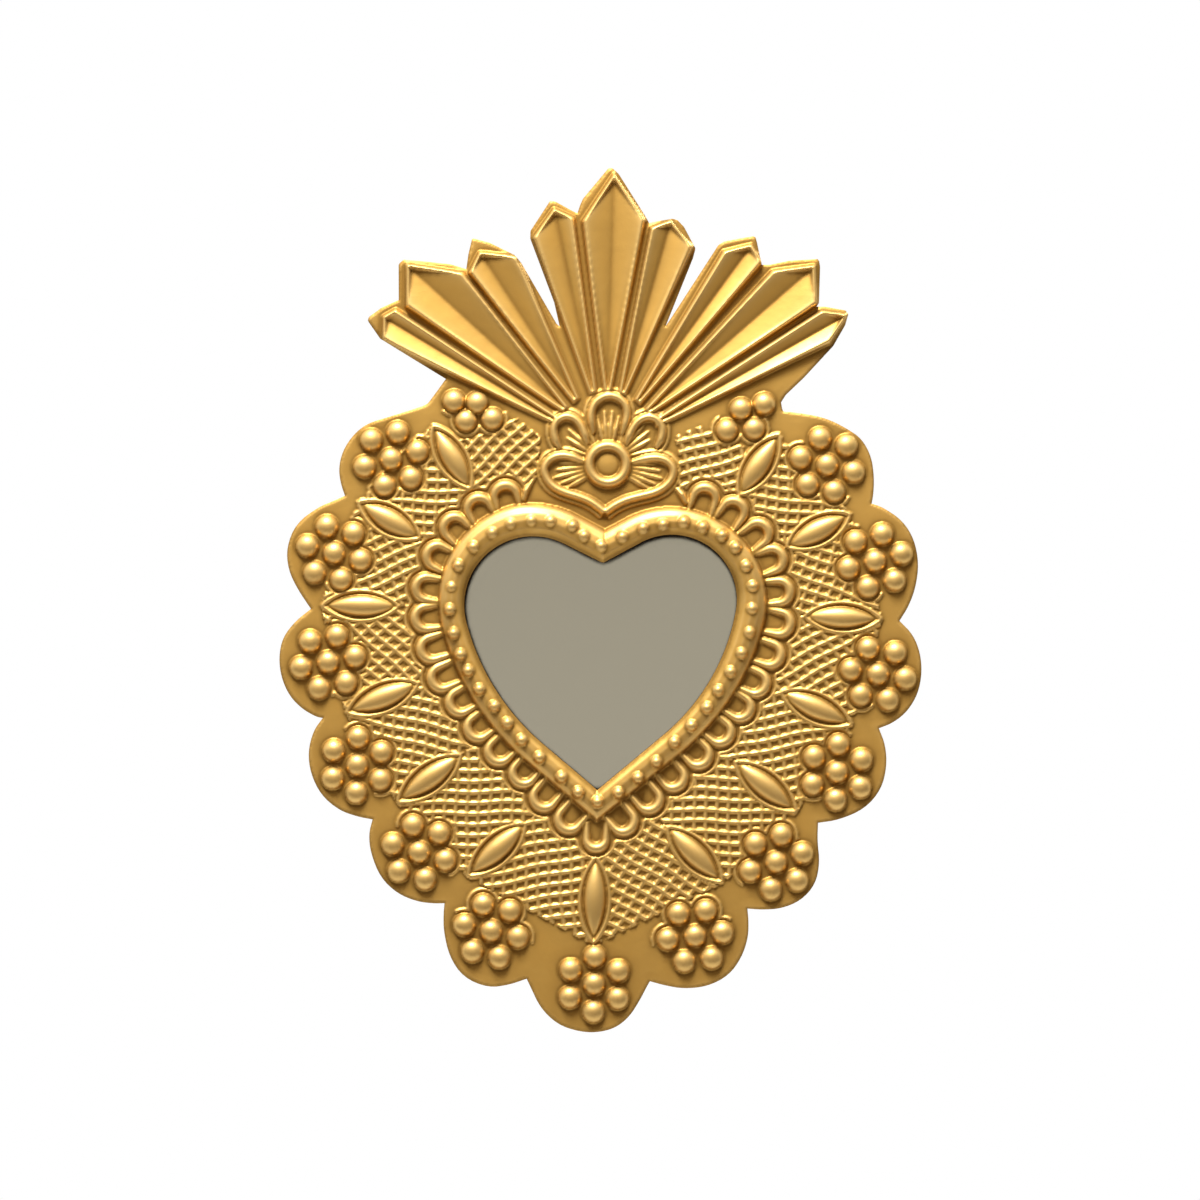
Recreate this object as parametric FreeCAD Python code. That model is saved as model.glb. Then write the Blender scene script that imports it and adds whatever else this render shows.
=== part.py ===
import FreeCAD, Part
import math
import os

# Heart-shaped wall mirror in an embossed tin frame, in millimetres.
# X points right, Y into the wall and Z up. The origin is on the rear face of the
# back plate, behind the centre of the heart glass.

# Pocket that holds the glass, from the wall forwards
plate_thickness = 0.4
plate_margin = 1.6
card_thickness = 1.5
glass_thickness = 3.0
glass_reach = 14.0
card_inset = 0.4
snip_pieces = (1, 16, 6, 1)

# Heart window in the sheet
window_lobe_x = 27.0
window_lobe_z = 20.5
window_lobe_radius = 27.4
window_side_radius = 78.0
window_cleft_z = 36.8
window_tip_z = -54.0
side_turn = 10.0

# Embossed sheet
sheet_thickness = 0.4
hem_width = 3.0
hem_tabs = 4
body_half_width = 129.0
body_drop = 151.2
neck_half_width = 66.0
neck_z = 107.5
lobe_rise = 13.6
bottom_lobe_rise = 19.7
edge_margin = 2.3

# Right-hand cusps between the lobes, from the crown down, as shares of the
# body's half width and of its drop
cusp_shares = (
    (0.560, 0.648),
    (0.830, 0.410),
    (0.919, 0.111),
    (0.865, -0.184),
    (0.702, -0.449),
    (0.481, -0.669),
    (0.195, -0.870),
)

# Round moulding along the window
window_lip = 0.8
moulding_width = 10.2
moulding_height = 5.4
moulding_shares = ((0.0, 0.0), (0.12, 0.62), (0.3, 1.0), (0.7, 1.0), (0.88, 0.62), (1.0, 0.0))
moulding_pieces = (1, 10, 3, 1)
small_bead_radius = 2.2
small_bead_height = 1.4
small_bead_spaces = 21
small_bead_sides = 6

# Round beads, in clusters of one and six
bead_radius = 4.6
bead_height = 3.3
bead_sides = 8
bead_back_radius = 4.2
bead_back_sides = 6
bead_level_shares = ((1, 0), (0.7, 0.72), (0, 1))
bead_back_level_shares = ((1, 0), (0, 1))
dome_share = 0.7
dome_height_share = 0.72
cluster_beads = 6
cluster_radius = 11.0
cluster_shares = (
    (0.676, 0.511, 44.0),
    (0.839, 0.260, 12.0),
    (0.853, -0.034, 51.0),
    (0.744, -0.301, 31.0),
    (0.554, -0.535, 18.0),
    (0.316, -0.738, 10.0),
)
bottom_cluster_share = -0.870
bottom_cluster_turn = 30.0
neck_bead_shares = ((0.944, 0.941), (0.797, 0.932), (0.877, 0.858), (0.717, 0.855))

# Leaves between the clusters: outer and inner ends
leaf_half_width = 4.2
leaf_height = 2.8
leaf_shares = (
    ((0.527, 0.582), (0.420, 0.437)),
    ((0.747, 0.381), (0.575, 0.301)),
    ((0.850, 0.114), (0.637, 0.116)),
    ((0.768, -0.161), (0.571, -0.089)),
    ((0.605, -0.391), (0.433, -0.278)),
    ((0.382, -0.582), (0.226, -0.455)),
)
bottom_leaf_shares = (-0.750, -0.545)
leaf_outline_shares = (
    (1, 0), (0.5, 0.75), (0, 1), (-0.5, 0.75),
    (-1, 0), (-0.5, -0.75), (0, -1), (0.5, -0.75),
)

# Arched petals that stand round the moulding
arch_count = 14
arch_pitch = 11.75
arch_start = 10.2
arch_length = 11.4
arch_half_width = 5.7
arch_rib = 3.4
arch_height = 2.2
arch_tuck = 1.3
arch_outline_shares = ((-1, 0), (-1, 0.55), (-0.5, 1), (0.5, 1), (1, 0.55), (1, 0))

# Lattice on the flat tin between the leaves. Each panel has the turn of its ridges in
# degrees on the right and on the left, from the neck round to the lowest leaf
lattice_pitch = 4.3
lattice_width = 1.5
lattice_height = 0.8
lattice_gap = 1.8
lattice_top = 92.0
lattice_shortest = 8.0
lattice_step = 0.5
lattice_turns = ((18, 45), (-5, 0), (-20, 25), (30, -40), (12, -12), (0, 2), (-30, 12))
panel_rows = 5
panel_reach = 26.0

# Fan of rays
fan_z = 84.0
ray_length = 111.0
ray_root = 22.0
ray_rim = 1.3
ray_height = 3.4
ray_root_height = 1.7
ray_valley_height = 0.3
ray_root_half_turn = 2.3
ray_valley_share = 0.86
web_radius = 52.0
web_half_turn = 62.0

# Each ray from left to right: tip, left shoulder and right shoulder as a turn in
# degrees from the centre line and a share of the ray length, then the root's turn
ray_shares = (
    ((-61.4, 0.919), (-65.9, 0.884), (-58.9, 0.897), -65.0),
    ((-49.2, 0.960), (-56.3, 0.871), (-41.4, 0.804), -50.0),
    ((-34.6, 0.823), (-39.4, 0.788), (-26.9, 0.748), -35.0),
    ((-13.7, 0.864), (-20.3, 0.788), (-9.8, 0.823), -15.0),
    ((0.4, 0.966), (-6.9, 0.809), (8.1, 0.819), 0.6),
    ((14.8, 0.835), (10.7, 0.796), (21.8, 0.776), 16.5),
    ((34.7, 0.886), (30.3, 0.814), (38.9, 0.861), 35.0),
    ((48.0, 0.985), (42.7, 0.867), (54.6, 0.912), 50.0),
    ((60.2, 0.980), (57.0, 0.913), (63.7, 0.885), 65.0),
)

# Flat gusset under the last ray on the right: turns and shares of the ray length
gusset_shares = (
    (63.9, 0.949),
    (66.3, 0.905),
    (69.7, 0.778),
    (71.0, 0.716),
    (73.4, 0.665),
    (66.9, 0.505),
)

# Flower under the rays
flower_z = 75.7
flower_ring_radius = 9.8
flower_ring_height = 2.8
flower_eye_height = 0.8
petal_distance = 17.8
petal_radius = 8.8
petal_height = 2.4
petal_bowl_height = 0.9
petal_turns = (0.0, 52.0, -52.0, 103.0, -103.0)
petal_sides = 10
flower_ring_sides = 12
rim_share = 0.84
bowl_share = 0.6
flower_point = 18.6
flower_point_half_width = 9.0

# Retaining tabs, bent over the card and closed in by the back plate
tab_thickness = 0.4
tab_width = 12.0
tab_gap = 0.4
tab_foot = 8.0
tab_leg = 8.0
tab_solder_run = 2.0
tab_places_shares = (0.17, 0.42, 0.66, 0.90)

# Hanger
strap_thickness = 0.4
strap_width = 10.0
strap_length = 20.0
eye_z = 132.0
eye_clearance = 0.3
wire_radius = 0.9
ring_half_width = 9.5
ring_corner = 2.6
corner_bends = 3
bow_bends = 14
wire_sides = 8
hanger_solder_run = 2.4

# Tools that cut past a face run on by this much
overrun = 5.0

plate_front = plate_thickness
card_back = plate_front + tab_thickness
card_front = card_back + card_thickness
ground = card_front + glass_thickness
ground_front = ground + sheet_thickness
crest_offset = window_lip + moulding_width / 2
moulding_edge = window_lip + moulding_width

os.makedirs("parts", exist_ok=True)


def at(x, z, height):
    """Point at a height above the back plate's rear face, towards the viewer."""
    return FreeCAD.Vector(x, -height, z)


def turned(radius, degrees):
    """Offset at a turn, counted anticlockwise from the right."""
    return radius * math.cos(math.radians(degrees)), radius * math.sin(math.radians(degrees))


def on_arc(centre, radius, degrees):
    dx, dz = turned(radius, degrees)
    return centre[0] + dx, centre[1] + dz


def polygon_face(points):
    points = list(points)
    return Part.Face(Part.makePolygon(points + points[:1]))


def prism(outline, low, high):
    face = polygon_face(at(x, z, low) for x, z in outline)
    return face.extrude(at(0, 0, high - low))


def closed_solid(faces):
    solid = Part.makeSolid(Part.makeShell(faces))
    if solid.Volume < 0:
        solid.reverse()
    return solid


def boss(outline, levels, base):
    """Raised form: its outline (x, z) shrinks towards its middle from level to level.

    A level is a share of the outline and a height. A last share of zero makes a peak.
    """
    middle_x = sum(x for x, z in outline) / len(outline)
    middle_z = sum(z for x, z in outline) / len(outline)
    rings = []
    for share, height in levels:
        ring = []
        for x, z in outline:
            dx, dz = (x - middle_x) * share, (z - middle_z) * share
            ring.append(at(middle_x + dx, middle_z + dz, base + height))
        rings.append(ring)
    faces = [polygon_face(rings[0])]
    for low, high in zip(rings, rings[1:]):
        for k, corner in enumerate(low):
            n = (k + 1) % len(low)
            if high[k].isEqual(high[n], 0):
                faces.append(polygon_face((corner, low[n], high[k])))
            else:
                faces.append(polygon_face((corner, low[n], high[n], high[k])))
    if levels[-1][0]:
        faces.append(polygon_face(rings[-1]))
    return closed_solid(faces)


def ring_outline(x, z, radius, sides, turn=0):
    return [on_arc((x, z), radius, turn + 360 * k / sides) for k in range(sides)]


def grown(outline, margin):
    """Polygon with each side moved out by a margin; the outline runs anticlockwise."""
    count = len(outline)
    result = []
    for k in range(count):
        x0, z0 = outline[k - 1]
        x1, z1 = outline[k]
        x2, z2 = outline[(k + 1) % count]
        a = math.atan2(z1 - z0, x1 - x0)
        b = math.atan2(z2 - z1, x2 - x1)
        half = (b - a) / 2
        reach = margin / math.cos(half)
        result.append((x1 + reach * math.sin(a + half), z1 - reach * math.cos(a + half)))
    return result


# The heart: its outline at an offset outside the window's edge

def side_centre():
    back_x, back_z = turned(window_side_radius - window_lobe_radius, -side_turn)
    return window_lobe_x - back_x, window_lobe_z - back_z


def cleft_slope():
    """Slope of the line from the cleft to the lobe, in degrees."""
    rise = window_cleft_z - window_lobe_z
    reach = math.hypot(window_lobe_x, rise)
    return math.degrees(math.asin(window_lobe_radius / reach) - math.atan2(rise, window_lobe_x))


def tip_lean():
    """Lean of the line from the tip to the side, in degrees from upright."""
    side_x, side_z = side_centre()
    reach = math.hypot(side_x, side_z - window_tip_z)
    return math.degrees(math.asin(window_side_radius / reach) - math.atan2(-side_x, side_z - window_tip_z))


def heart_runs(offset):
    """Right half from the cleft to the tip: a line, two arcs and a line."""
    slope = cleft_slope()
    lean = tip_lean()
    lobe = window_lobe_radius + offset
    side = window_side_radius + offset
    lobe_centre = (window_lobe_x, window_lobe_z)
    cleft = (0, window_cleft_z + offset / math.cos(math.radians(slope)))
    tip = (0, window_tip_z - offset / math.sin(math.radians(lean)))
    return (
        ("line", cleft, on_arc(lobe_centre, lobe, 90 + slope)),
        ("arc", lobe_centre, lobe, 90 + slope, -side_turn),
        ("arc", side_centre(), side, -side_turn, -lean),
        ("line", on_arc(side_centre(), side, -lean), tip),
    )


def run_length(run):
    if run[0] == "line":
        return math.dist(run[1], run[2])
    return run[2] * math.radians(abs(run[4] - run[3]))


def half_length(offset):
    return sum(run_length(run) for run in heart_runs(offset))


def heart_place(offset, distance):
    """Point at a distance from the cleft along the right half, and the outward turn there."""
    runs = heart_runs(offset)
    for run in runs:
        length = run_length(run)
        if distance <= length or run is runs[-1]:
            break
        distance -= length
    share = distance / length
    if run[0] == "arc":
        turn = run[3] + (run[4] - run[3]) * share
        return on_arc(run[1], run[2], turn), turn
    (x0, z0), (x1, z1) = run[1:]
    turn = math.degrees(math.atan2(z1 - z0, x1 - x0)) + 90
    return (x0 + (x1 - x0) * share, z0 + (z1 - z0) * share), turn


def heart_edges(offset, height, side):
    """Edges of one half, from the cleft down; side is 1 for the right and -1 for the left."""
    edges = []
    for run in heart_runs(offset):
        if run[0] == "line":
            start, end = [at(side * x, z, height) for x, z in run[1:]]
            edges.append(Part.makeLine(start, end))
        else:
            places = [on_arc(run[1], run[2], turn) for turn in (run[3], (run[3] + run[4]) / 2, run[4])]
            edges.append(Part.Arc(*[at(side * x, z, height) for x, z in places]).toShape())
    return edges


def heart_face(offset, height):
    edges = heart_edges(offset, height, 1) + heart_edges(offset, height, -1)
    return Part.Face(Part.Wire(Part.__sortEdges__(edges)))


def heart_prism(offset, low, high):
    return heart_face(offset, low).extrude(at(0, 0, high - low))


# Embossed sheet

def body_point(shares, side=1):
    return side * shares[0] * body_half_width, shares[1] * body_drop


def lobes():
    """Lobes clockwise from the neck: centre, radius, first turn and sweep in degrees."""
    cusps = [body_point(shares) for shares in cusp_shares]
    cusps += [(-x, z) for x, z in reversed(cusps)]
    made = []
    for k, (start, end) in enumerate(zip(cusps, cusps[1:])):
        rise = bottom_lobe_rise if k == len(cusp_shares) - 1 else lobe_rise
        run = math.dist(start, end)
        radius = (run ** 2 / 4 + rise ** 2) / (2 * rise)
        back = (radius - rise) / run
        centre_x = (start[0] + end[0]) / 2 + (end[1] - start[1]) * back
        centre_z = (start[1] + end[1]) / 2 - (end[0] - start[0]) * back
        first = math.degrees(math.atan2(start[1] - centre_z, start[0] - centre_x))
        made.append(((centre_x, centre_z), radius, first, math.degrees(4 * math.atan2(2 * rise, run))))
    return made


def body_prism(low, high):
    """Scalloped body: an arc for each lobe, closed across the neck."""
    edges = []
    for centre, radius, first, sweep in lobes():
        places = [on_arc(centre, radius, first - sweep * share) for share in (0, 0.5, 1)]
        edges.append(Part.Arc(*[at(*place, low) for place in places]).toShape())
    corners = [at(side * neck_half_width, neck_z, low) for side in (-1, 1)]
    corners = [at(*places[-1], low)] + corners + [at(*body_point(cusp_shares[0]), low)]
    edges += [Part.makeLine(a, b) for a, b in zip(corners, corners[1:])]
    return Part.Face(Part.Wire(edges)).extrude(at(0, 0, high - low))


def fan_point(turn, share):
    """Place in the fan: a turn clockwise from upright and a share of the ray length."""
    dx, dz = turned(ray_length * share, 90 - turn)
    return dx, fan_z + dz


def ray_outline(ray):
    """Crest of a ray's rim, anticlockwise: tip, left shoulder, root and right shoulder."""
    tip, left, right, root_turn = ray
    root_share = ray_root / ray_length
    return [
        fan_point(*tip),
        fan_point(*left),
        fan_point(root_turn - ray_root_half_turn, root_share),
        fan_point(root_turn + ray_root_half_turn, root_share),
        fan_point(*right),
    ]


def ray(ray):
    """A ray's rim and the two facets that fall from it to the valley."""
    outline = ray_outline(ray)
    heights = [ray_height, ray_height, ray_root_height, ray_root_height, ray_height]
    crest = [at(x, z, ground_front + height) for (x, z), height in zip(outline, heights)]
    foot = [at(x, z, ground_front) for x, z in grown(outline, ray_rim)]
    (tip_turn, tip_share), root_turn = ray[0], ray[3]
    head_share = tip_share * ray_valley_share
    root_share = ray_root / ray_length
    way = (tip_share - head_share) / (tip_share - root_share)
    head_turn = tip_turn + (root_turn - tip_turn) * way
    head = at(*fan_point(head_turn, head_share), ground_front + ray_valley_height)
    tail_share = root_share / ray_valley_share
    tail = at(*fan_point(root_turn, tail_share), ground_front + ray_valley_height)
    tip, left, left_root, right_root, right = crest
    triangles = [
        (tip, left, head),
        (tip, head, right),
        (left, left_root, head),
        (left_root, tail, head),
        (right, head, right_root),
        (right_root, head, tail),
        (left_root, right_root, tail),
    ]
    for k in range(len(crest)):
        n = (k + 1) % len(crest)
        triangles.append((foot[k], foot[n], crest[n]))
        triangles.append((foot[k], crest[n], crest[k]))
    return closed_solid([polygon_face(foot)] + [polygon_face(triangle) for triangle in triangles])


def dome(place, form):
    """Bead in a form: its radius, its count of sides and its levels as shares."""
    radius, sides, level_shares = form
    levels = [(share, bead_height * height_share) for share, height_share in level_shares]
    return boss(ring_outline(*place, radius, sides), levels, ground_front)


def cluster(x, z, turn, form):
    beads = [dome((x, z), form)]
    for k in range(cluster_beads):
        beads.append(dome(on_arc((x, z), cluster_radius, turn + 360 * k / cluster_beads), form))
    return beads


def leaf(outer, inner):
    """Spindle between two ends."""
    reach = math.dist(outer, inner)
    along = ((outer[0] - inner[0]) / reach, (outer[1] - inner[1]) / reach)
    middle = ((outer[0] + inner[0]) / 2, (outer[1] + inner[1]) / 2)
    outline = []
    for length_share, width_share in leaf_outline_shares:
        run = reach / 2 * length_share
        width = leaf_half_width * width_share
        dx, dz = along[0] * run - along[1] * width, along[1] * run + along[0] * width
        outline.append((middle[0] + dx, middle[1] + dz))
    levels = ((1, 0), (dome_share, leaf_height * dome_height_share), (0, leaf_height))
    return boss(outline, levels, ground_front)


def rib(points, width, height):
    """Ridge of triangular section along an open run of points."""
    sides = {1: [], -1: []}
    for k, (x, z) in enumerate(points):
        x0, z0 = points[max(k - 1, 0)]
        x2, z2 = points[min(k + 1, len(points) - 1)]
        a = math.atan2(z - z0, x - x0) if k else math.atan2(z2 - z, x2 - x)
        b = math.atan2(z2 - z, x2 - x) if k < len(points) - 1 else a
        half = (b - a) / 2
        half = math.atan2(math.sin(half), math.cos(half))
        reach = width / 2 / math.cos(half)
        for side in sides:
            place = (x - side * reach * math.sin(a + half), z + side * reach * math.cos(a + half))
            sides[side].append(at(*place, ground_front))
    crest = [at(x, z, ground_front + height) for x, z in points]
    faces = [polygon_face(sides[1] + sides[-1][::-1])]
    for side in sides.values():
        for k in range(len(points) - 1):
            faces.append(polygon_face((side[k], side[k + 1], crest[k + 1])))
            faces.append(polygon_face((side[k], crest[k + 1], crest[k])))
    for k in (0, -1):
        faces.append(polygon_face((sides[1][k], crest[k], sides[-1][k])))
    return closed_solid(faces)


def arch(place, turn, side):
    """Arched petal that stands on the moulding, opening towards it."""
    half = arch_half_width - arch_rib / 2
    length = arch_length - arch_rib / 2
    points = []
    for across_share, out_share in arch_outline_shares:
        across = half * across_share
        out = length * out_share if out_share else -arch_tuck
        dx, dz = turned(out, turn)
        sx, sz = turned(across, turn + 90)
        points.append((side * (place[0] + dx + sx), place[1] + dz + sz))
    return rib(points, arch_rib, arch_height)


def arches():
    whole = half_length(moulding_edge)
    made = [arch(heart_place(moulding_edge, whole)[0], -90, 1)]
    for side in (1, -1):
        for k in range(arch_count):
            place, turn = heart_place(moulding_edge, whole - arch_start - arch_pitch * k)
            made.append(arch(place, turn, side))
    return made


def leaf_ends():
    """Outer and inner end of each leaf on the right, from the neck to the lowest one."""
    ends = [(body_point(outer), body_point(inner)) for outer, inner in leaf_shares]
    return ends + [tuple((0, share * body_drop) for share in bottom_leaf_shares)]


def bead_places():
    places = []
    for x_share, z_share, turn in cluster_shares:
        places.append(body_point((x_share, z_share)))
    places.append((0, bottom_cluster_share * body_drop))
    return places


def window_distance(x, z):
    """Distance of a place on the right from the window's edge."""
    side_x, side_z = side_centre()
    lean = math.radians(tip_lean())
    turn = math.atan2(z - side_z, x - side_x)
    if turn > -math.radians(side_turn):
        return math.dist((x, z), (window_lobe_x, window_lobe_z)) - window_lobe_radius
    if turn > -lean:
        return math.hypot(x - side_x, z - side_z) - window_side_radius
    return x * math.cos(lean) - (z - window_tip_z) * math.sin(lean)


def plain_tin(x, z):
    """Whether a place on the right lies clear of the arches, leaves, beads and flower."""
    if window_distance(x, z) < moulding_edge + arch_length + lattice_gap or z > lattice_top:
        return False
    cluster_edge = cluster_radius + bead_radius + lattice_gap
    if any(math.dist((x, z), place) < cluster_edge for place in bead_places()):
        return False
    for x_share, z_share in neck_bead_shares:
        if math.dist((x, z), (x_share * neck_half_width, z_share * neck_z)) < bead_radius + lattice_gap:
            return False
    if math.dist((x, z), (0, flower_z)) < petal_distance + petal_radius + lattice_gap:
        return False
    for outer, inner in leaf_ends():
        reach = math.dist(outer, inner)
        dx, dz = (outer[0] - inner[0]) / reach, (outer[1] - inner[1]) / reach
        along = (x - inner[0]) * dx + (z - inner[1]) * dz
        aside = abs((x - inner[0]) * dz - (z - inner[1]) * dx)
        swell = max(1 - (along * 2 / reach - 1) ** 2, 0)
        beside = aside < leaf_half_width * swell + lattice_gap
        if beside and -lattice_gap < along < reach + lattice_gap:
            return False
    return True


def leaf_turn(ends):
    """Turn of a leaf's middle, seen from the middle of the window."""
    x, z = [(a + b) / 2 for a, b in zip(*ends)]
    return math.degrees(math.atan2(z, x))


def lattice_panel(first, last, middle, ridge_turn, side):
    """Ridges of a panel between two turns, as runs of plain tin along straight lines."""
    along = turned(1, ridge_turn if side > 0 else 180 - ridge_turn)
    ridges = []
    for row in range(-panel_rows, panel_rows + 1):
        run = []
        for k in range(round(panel_reach * 2 / lattice_step) + 1):
            step = k * lattice_step - panel_reach
            x = middle[0] + along[0] * step - along[1] * row * lattice_pitch
            z = middle[1] + along[1] * step + along[0] * row * lattice_pitch
            here = last < math.degrees(math.atan2(z, x)) < first and plain_tin(x, z)
            if here:
                run.append((side * x, z))
            if run and (not here or step == panel_reach):
                if math.dist(run[0], run[-1]) > lattice_shortest:
                    ridges.append(rib((run[0], run[-1]), lattice_width, lattice_height))
                run = []
    return ridges


def lattice():
    """Straight ridges pressed side by side into each panel."""
    leaves = leaf_ends()
    turns = [90] + [leaf_turn(ends) for ends in leaves]
    middles = [((leaves[0][0][0] + leaves[0][1][0]) / 3, lattice_top - panel_reach / 2)]
    for ends, others in zip(leaves, leaves[1:]):
        middles.append(tuple((a + b + c + d) / 4 for a, b, c, d in zip(*ends, *others)))
    ridges = []
    for first, last, middle, ridge_turns in zip(turns, turns[1:], middles, lattice_turns):
        for side, ridge_turn in zip((1, -1), ridge_turns):
            ridges += lattice_panel(first, last, middle, ridge_turn, side)
    return ridges


def heart_corners(offset, pieces):
    """Heart as a polygon, clockwise from the cleft, its arcs cut into equal turns."""
    half = []
    for run, count in zip(heart_runs(offset), pieces):
        for k in range(count):
            if run[0] == "arc":
                half.append(on_arc(run[1], run[2], run[3] + (run[4] - run[3]) * k / count))
            else:
                half.append(run[1])
    tip = heart_runs(offset)[-1][2]
    return half + [tip] + [(-x, z) for x, z in reversed(half[1:])]


def moulding():
    """Round moulding along the window, as heart-shaped rings at rising and falling heights."""
    rings = []
    for width_share, height_share in moulding_shares:
        height = ground_front + moulding_height * height_share
        corners = heart_corners(window_lip + moulding_width * width_share, moulding_pieces)
        rings.append([at(x, z, height) for x, z in corners])
    faces = [polygon_face(rings[-1]).cut(polygon_face(rings[0])).Faces[0]]
    for low, high in zip(rings, rings[1:]):
        for k, corner in enumerate(low):
            faces.append(polygon_face((low[k - 1], corner, high[k], high[k - 1])))
    return closed_solid(faces)


def small_beads():
    """Row of small beads on the moulding's crest, from the cleft to the tip."""
    step = half_length(crest_offset) / small_bead_spaces
    levels = ((1, 0), (dome_share, small_bead_height * dome_height_share), (0, small_bead_height))
    beads = []
    for k in range(small_bead_spaces + 1):
        (x, z), turn = heart_place(crest_offset, step * k)
        for side in ((1, -1) if 0 < k < small_bead_spaces else (1,)):
            outline = ring_outline(side * x, z, small_bead_radius, small_bead_sides, side * turn)
            beads.append(boss(outline, levels, ground_front + moulding_height))
    return beads


def flower():
    """Five rimmed petals round a dimpled ring, with a point below."""
    forms = []
    for turn in petal_turns:
        x, z = on_arc((0, flower_z), petal_distance, 90 - turn)
        levels = ((1, 0), (rim_share, petal_height), (bowl_share, petal_bowl_height))
        forms.append(boss(ring_outline(x, z, petal_radius, petal_sides, 90 - turn), levels, ground_front))
    levels = ((1, 0), (rim_share, flower_ring_height), (bowl_share, flower_eye_height))
    forms.append(boss(ring_outline(0, flower_z, flower_ring_radius, flower_ring_sides), levels, ground_front))
    top = flower_z - flower_ring_radius
    point = [(-flower_point_half_width, top), (0, flower_z - flower_point), (flower_point_half_width, top)]
    forms.append(boss(point, ((1, 0), (rim_share, petal_height)), ground_front))
    return forms


def bead_forms(form):
    beads = cluster(0, bottom_cluster_share * body_drop, bottom_cluster_turn, form)
    for side in (1, -1):
        for x_share, z_share, turn in cluster_shares:
            x, z = body_point((x_share, z_share), side)
            beads += cluster(x, z, turn if side > 0 else 180 - turn, form)
        for shares in neck_bead_shares:
            beads.append(dome((side * shares[0] * neck_half_width, shares[1] * neck_z), form))
    return beads


def leaf_forms():
    leaves = []
    for side in (1, -1):
        for outer, inner in leaf_shares:
            leaves.append(leaf(body_point(outer, side), body_point(inner, side)))
    outer, inner = [(0, share * body_drop) for share in bottom_leaf_shares]
    leaves.append(leaf(outer, inner))
    return leaves


def web_prism(low, high):
    """Flat tin between the roots of the rays."""
    reach_share = web_radius / ray_length
    ends = [at(*fan_point(turn, reach_share), low) for turn in (-web_half_turn, 0, web_half_turn)]
    left_neck = at(-neck_half_width, neck_z, low)
    right_neck = at(neck_half_width, neck_z, low)
    edges = [
        Part.Arc(*ends).toShape(),
        Part.makeLine(ends[-1], right_neck),
        Part.makeLine(right_neck, left_neck),
        Part.makeLine(left_neck, ends[0]),
    ]
    return Part.Face(Part.Wire(edges)).extrude(at(0, 0, high - low))


def blank_prism(low, high):
    """Outline of the sheet as cut from flat tin, with the heart window."""
    wings = [prism(grown(ray_outline(ray), edge_margin), low, high) for ray in ray_shares]
    gusset = [fan_point(*shares) for shares in gusset_shares]
    wings.append(prism(gusset, low, high))
    wings.append(web_prism(low, high))
    blank = body_prism(low, high).multiFuse(wings).removeSplitter()
    return blank.cut(heart_prism(0, low - overrun, high + overrun))


def hem_block(low, high):
    """All below the neck but the inside of the turned-back edge, which ends in straight snipped tabs."""
    reach = body_half_width + body_drop
    top = neck_z + overrun
    inner = []
    for centre, radius, first, sweep in lobes():
        inner += [on_arc(centre, radius - hem_width, first - sweep * k / hem_tabs) for k in range(hem_tabs + 1)]
    inner += [(-neck_half_width + hem_width, top), (neck_half_width - hem_width, top)]
    outline = [(-reach, -reach), (reach, -reach), (reach, neck_z), (-reach, neck_z)]
    return prism(outline, low, high).cut(prism(inner, low - overrun, high + overrun))


def pressed_form(bead_form):
    """Flat tin with the raised forms."""
    reach = body_half_width + body_drop
    low = ground - overrun
    corner = FreeCAD.Vector(-reach, -ground_front, -reach)
    slab = Part.makeBox(reach * 2, ground_front - low, reach * 2, corner)
    raised = [moulding()] + bead_forms(bead_form) + leaf_forms() + flower()
    return slab.multiFuse(raised + [ray(shares) for shares in ray_shares])


def embossed_front():
    """The pressed form less the same form one sheet thickness behind it, with a hem.

    The thin ribs, the lattice and the small beads are left out of the form behind.
    """
    low = ground - sheet_thickness
    behind = pressed_form((bead_back_radius, bead_back_sides, bead_back_level_shares))
    behind.translate(at(0, 0, -sheet_thickness))
    behind = behind.cut(hem_block(low - overrun, ground))
    front = pressed_form((bead_radius, bead_sides, bead_level_shares))
    front = front.multiFuse(small_beads() + arches() + lattice())
    return front.common(blank_prism(low, ground_front + moulding_height + overrun)).cut(behind)


# Pocket behind the window

def mirror_glass():
    return heart_prism(glass_reach, card_front, ground)


def backing_card():
    """Card cushion, cut in straight snips."""
    return prism(heart_corners(glass_reach - card_inset, snip_pieces), card_back, card_front)


def back_plate():
    """Tin cover over the bent tabs, cut in straight snips."""
    return prism(heart_corners(glass_reach + plate_margin, snip_pieces), 0, plate_front)


def tab_frame(share, side):
    """Place of a tab's riser at the glass's edge, and its outward turn."""
    (x, z), turn = heart_place(glass_reach + tab_gap, half_length(glass_reach + tab_gap) * share)
    return (side * x, z), (turn if side > 0 else 180 - turn)


def set_at_edge(profile, width, share, side):
    """Solid whose profile (outward, height) is drawn along the glass's edge."""
    (x, z), turn = tab_frame(share, side)
    dx, dz = turned(width / 2, turn + 90)
    points = []
    for out, height in profile:
        ox, oz = turned(out, turn)
        points.append(at(x + ox - dx, z + oz - dz, height))
    return polygon_face(points).extrude(FreeCAD.Vector(dx * 2, 0, dz * 2))


def retaining_tab(share, side):
    """Strip with its foot on the sheet's back, bent over the card."""
    profile = (
        (tab_foot, ground),
        (0, ground),
        (0, card_back),
        (-tab_leg, card_back),
        (-tab_leg, plate_front),
        (tab_thickness, plate_front),
        (tab_thickness, ground - tab_thickness),
        (tab_foot, ground - tab_thickness),
    )
    return set_at_edge(profile, tab_width, share, side)


def tab_solder(share, side):
    """Fillet of solder at the end of a tab's foot."""
    profile = ((tab_foot, ground), (tab_foot + tab_solder_run, ground), (tab_foot, ground - tab_thickness))
    return set_at_edge(profile, tab_width, share, side)


# Hanger

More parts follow.
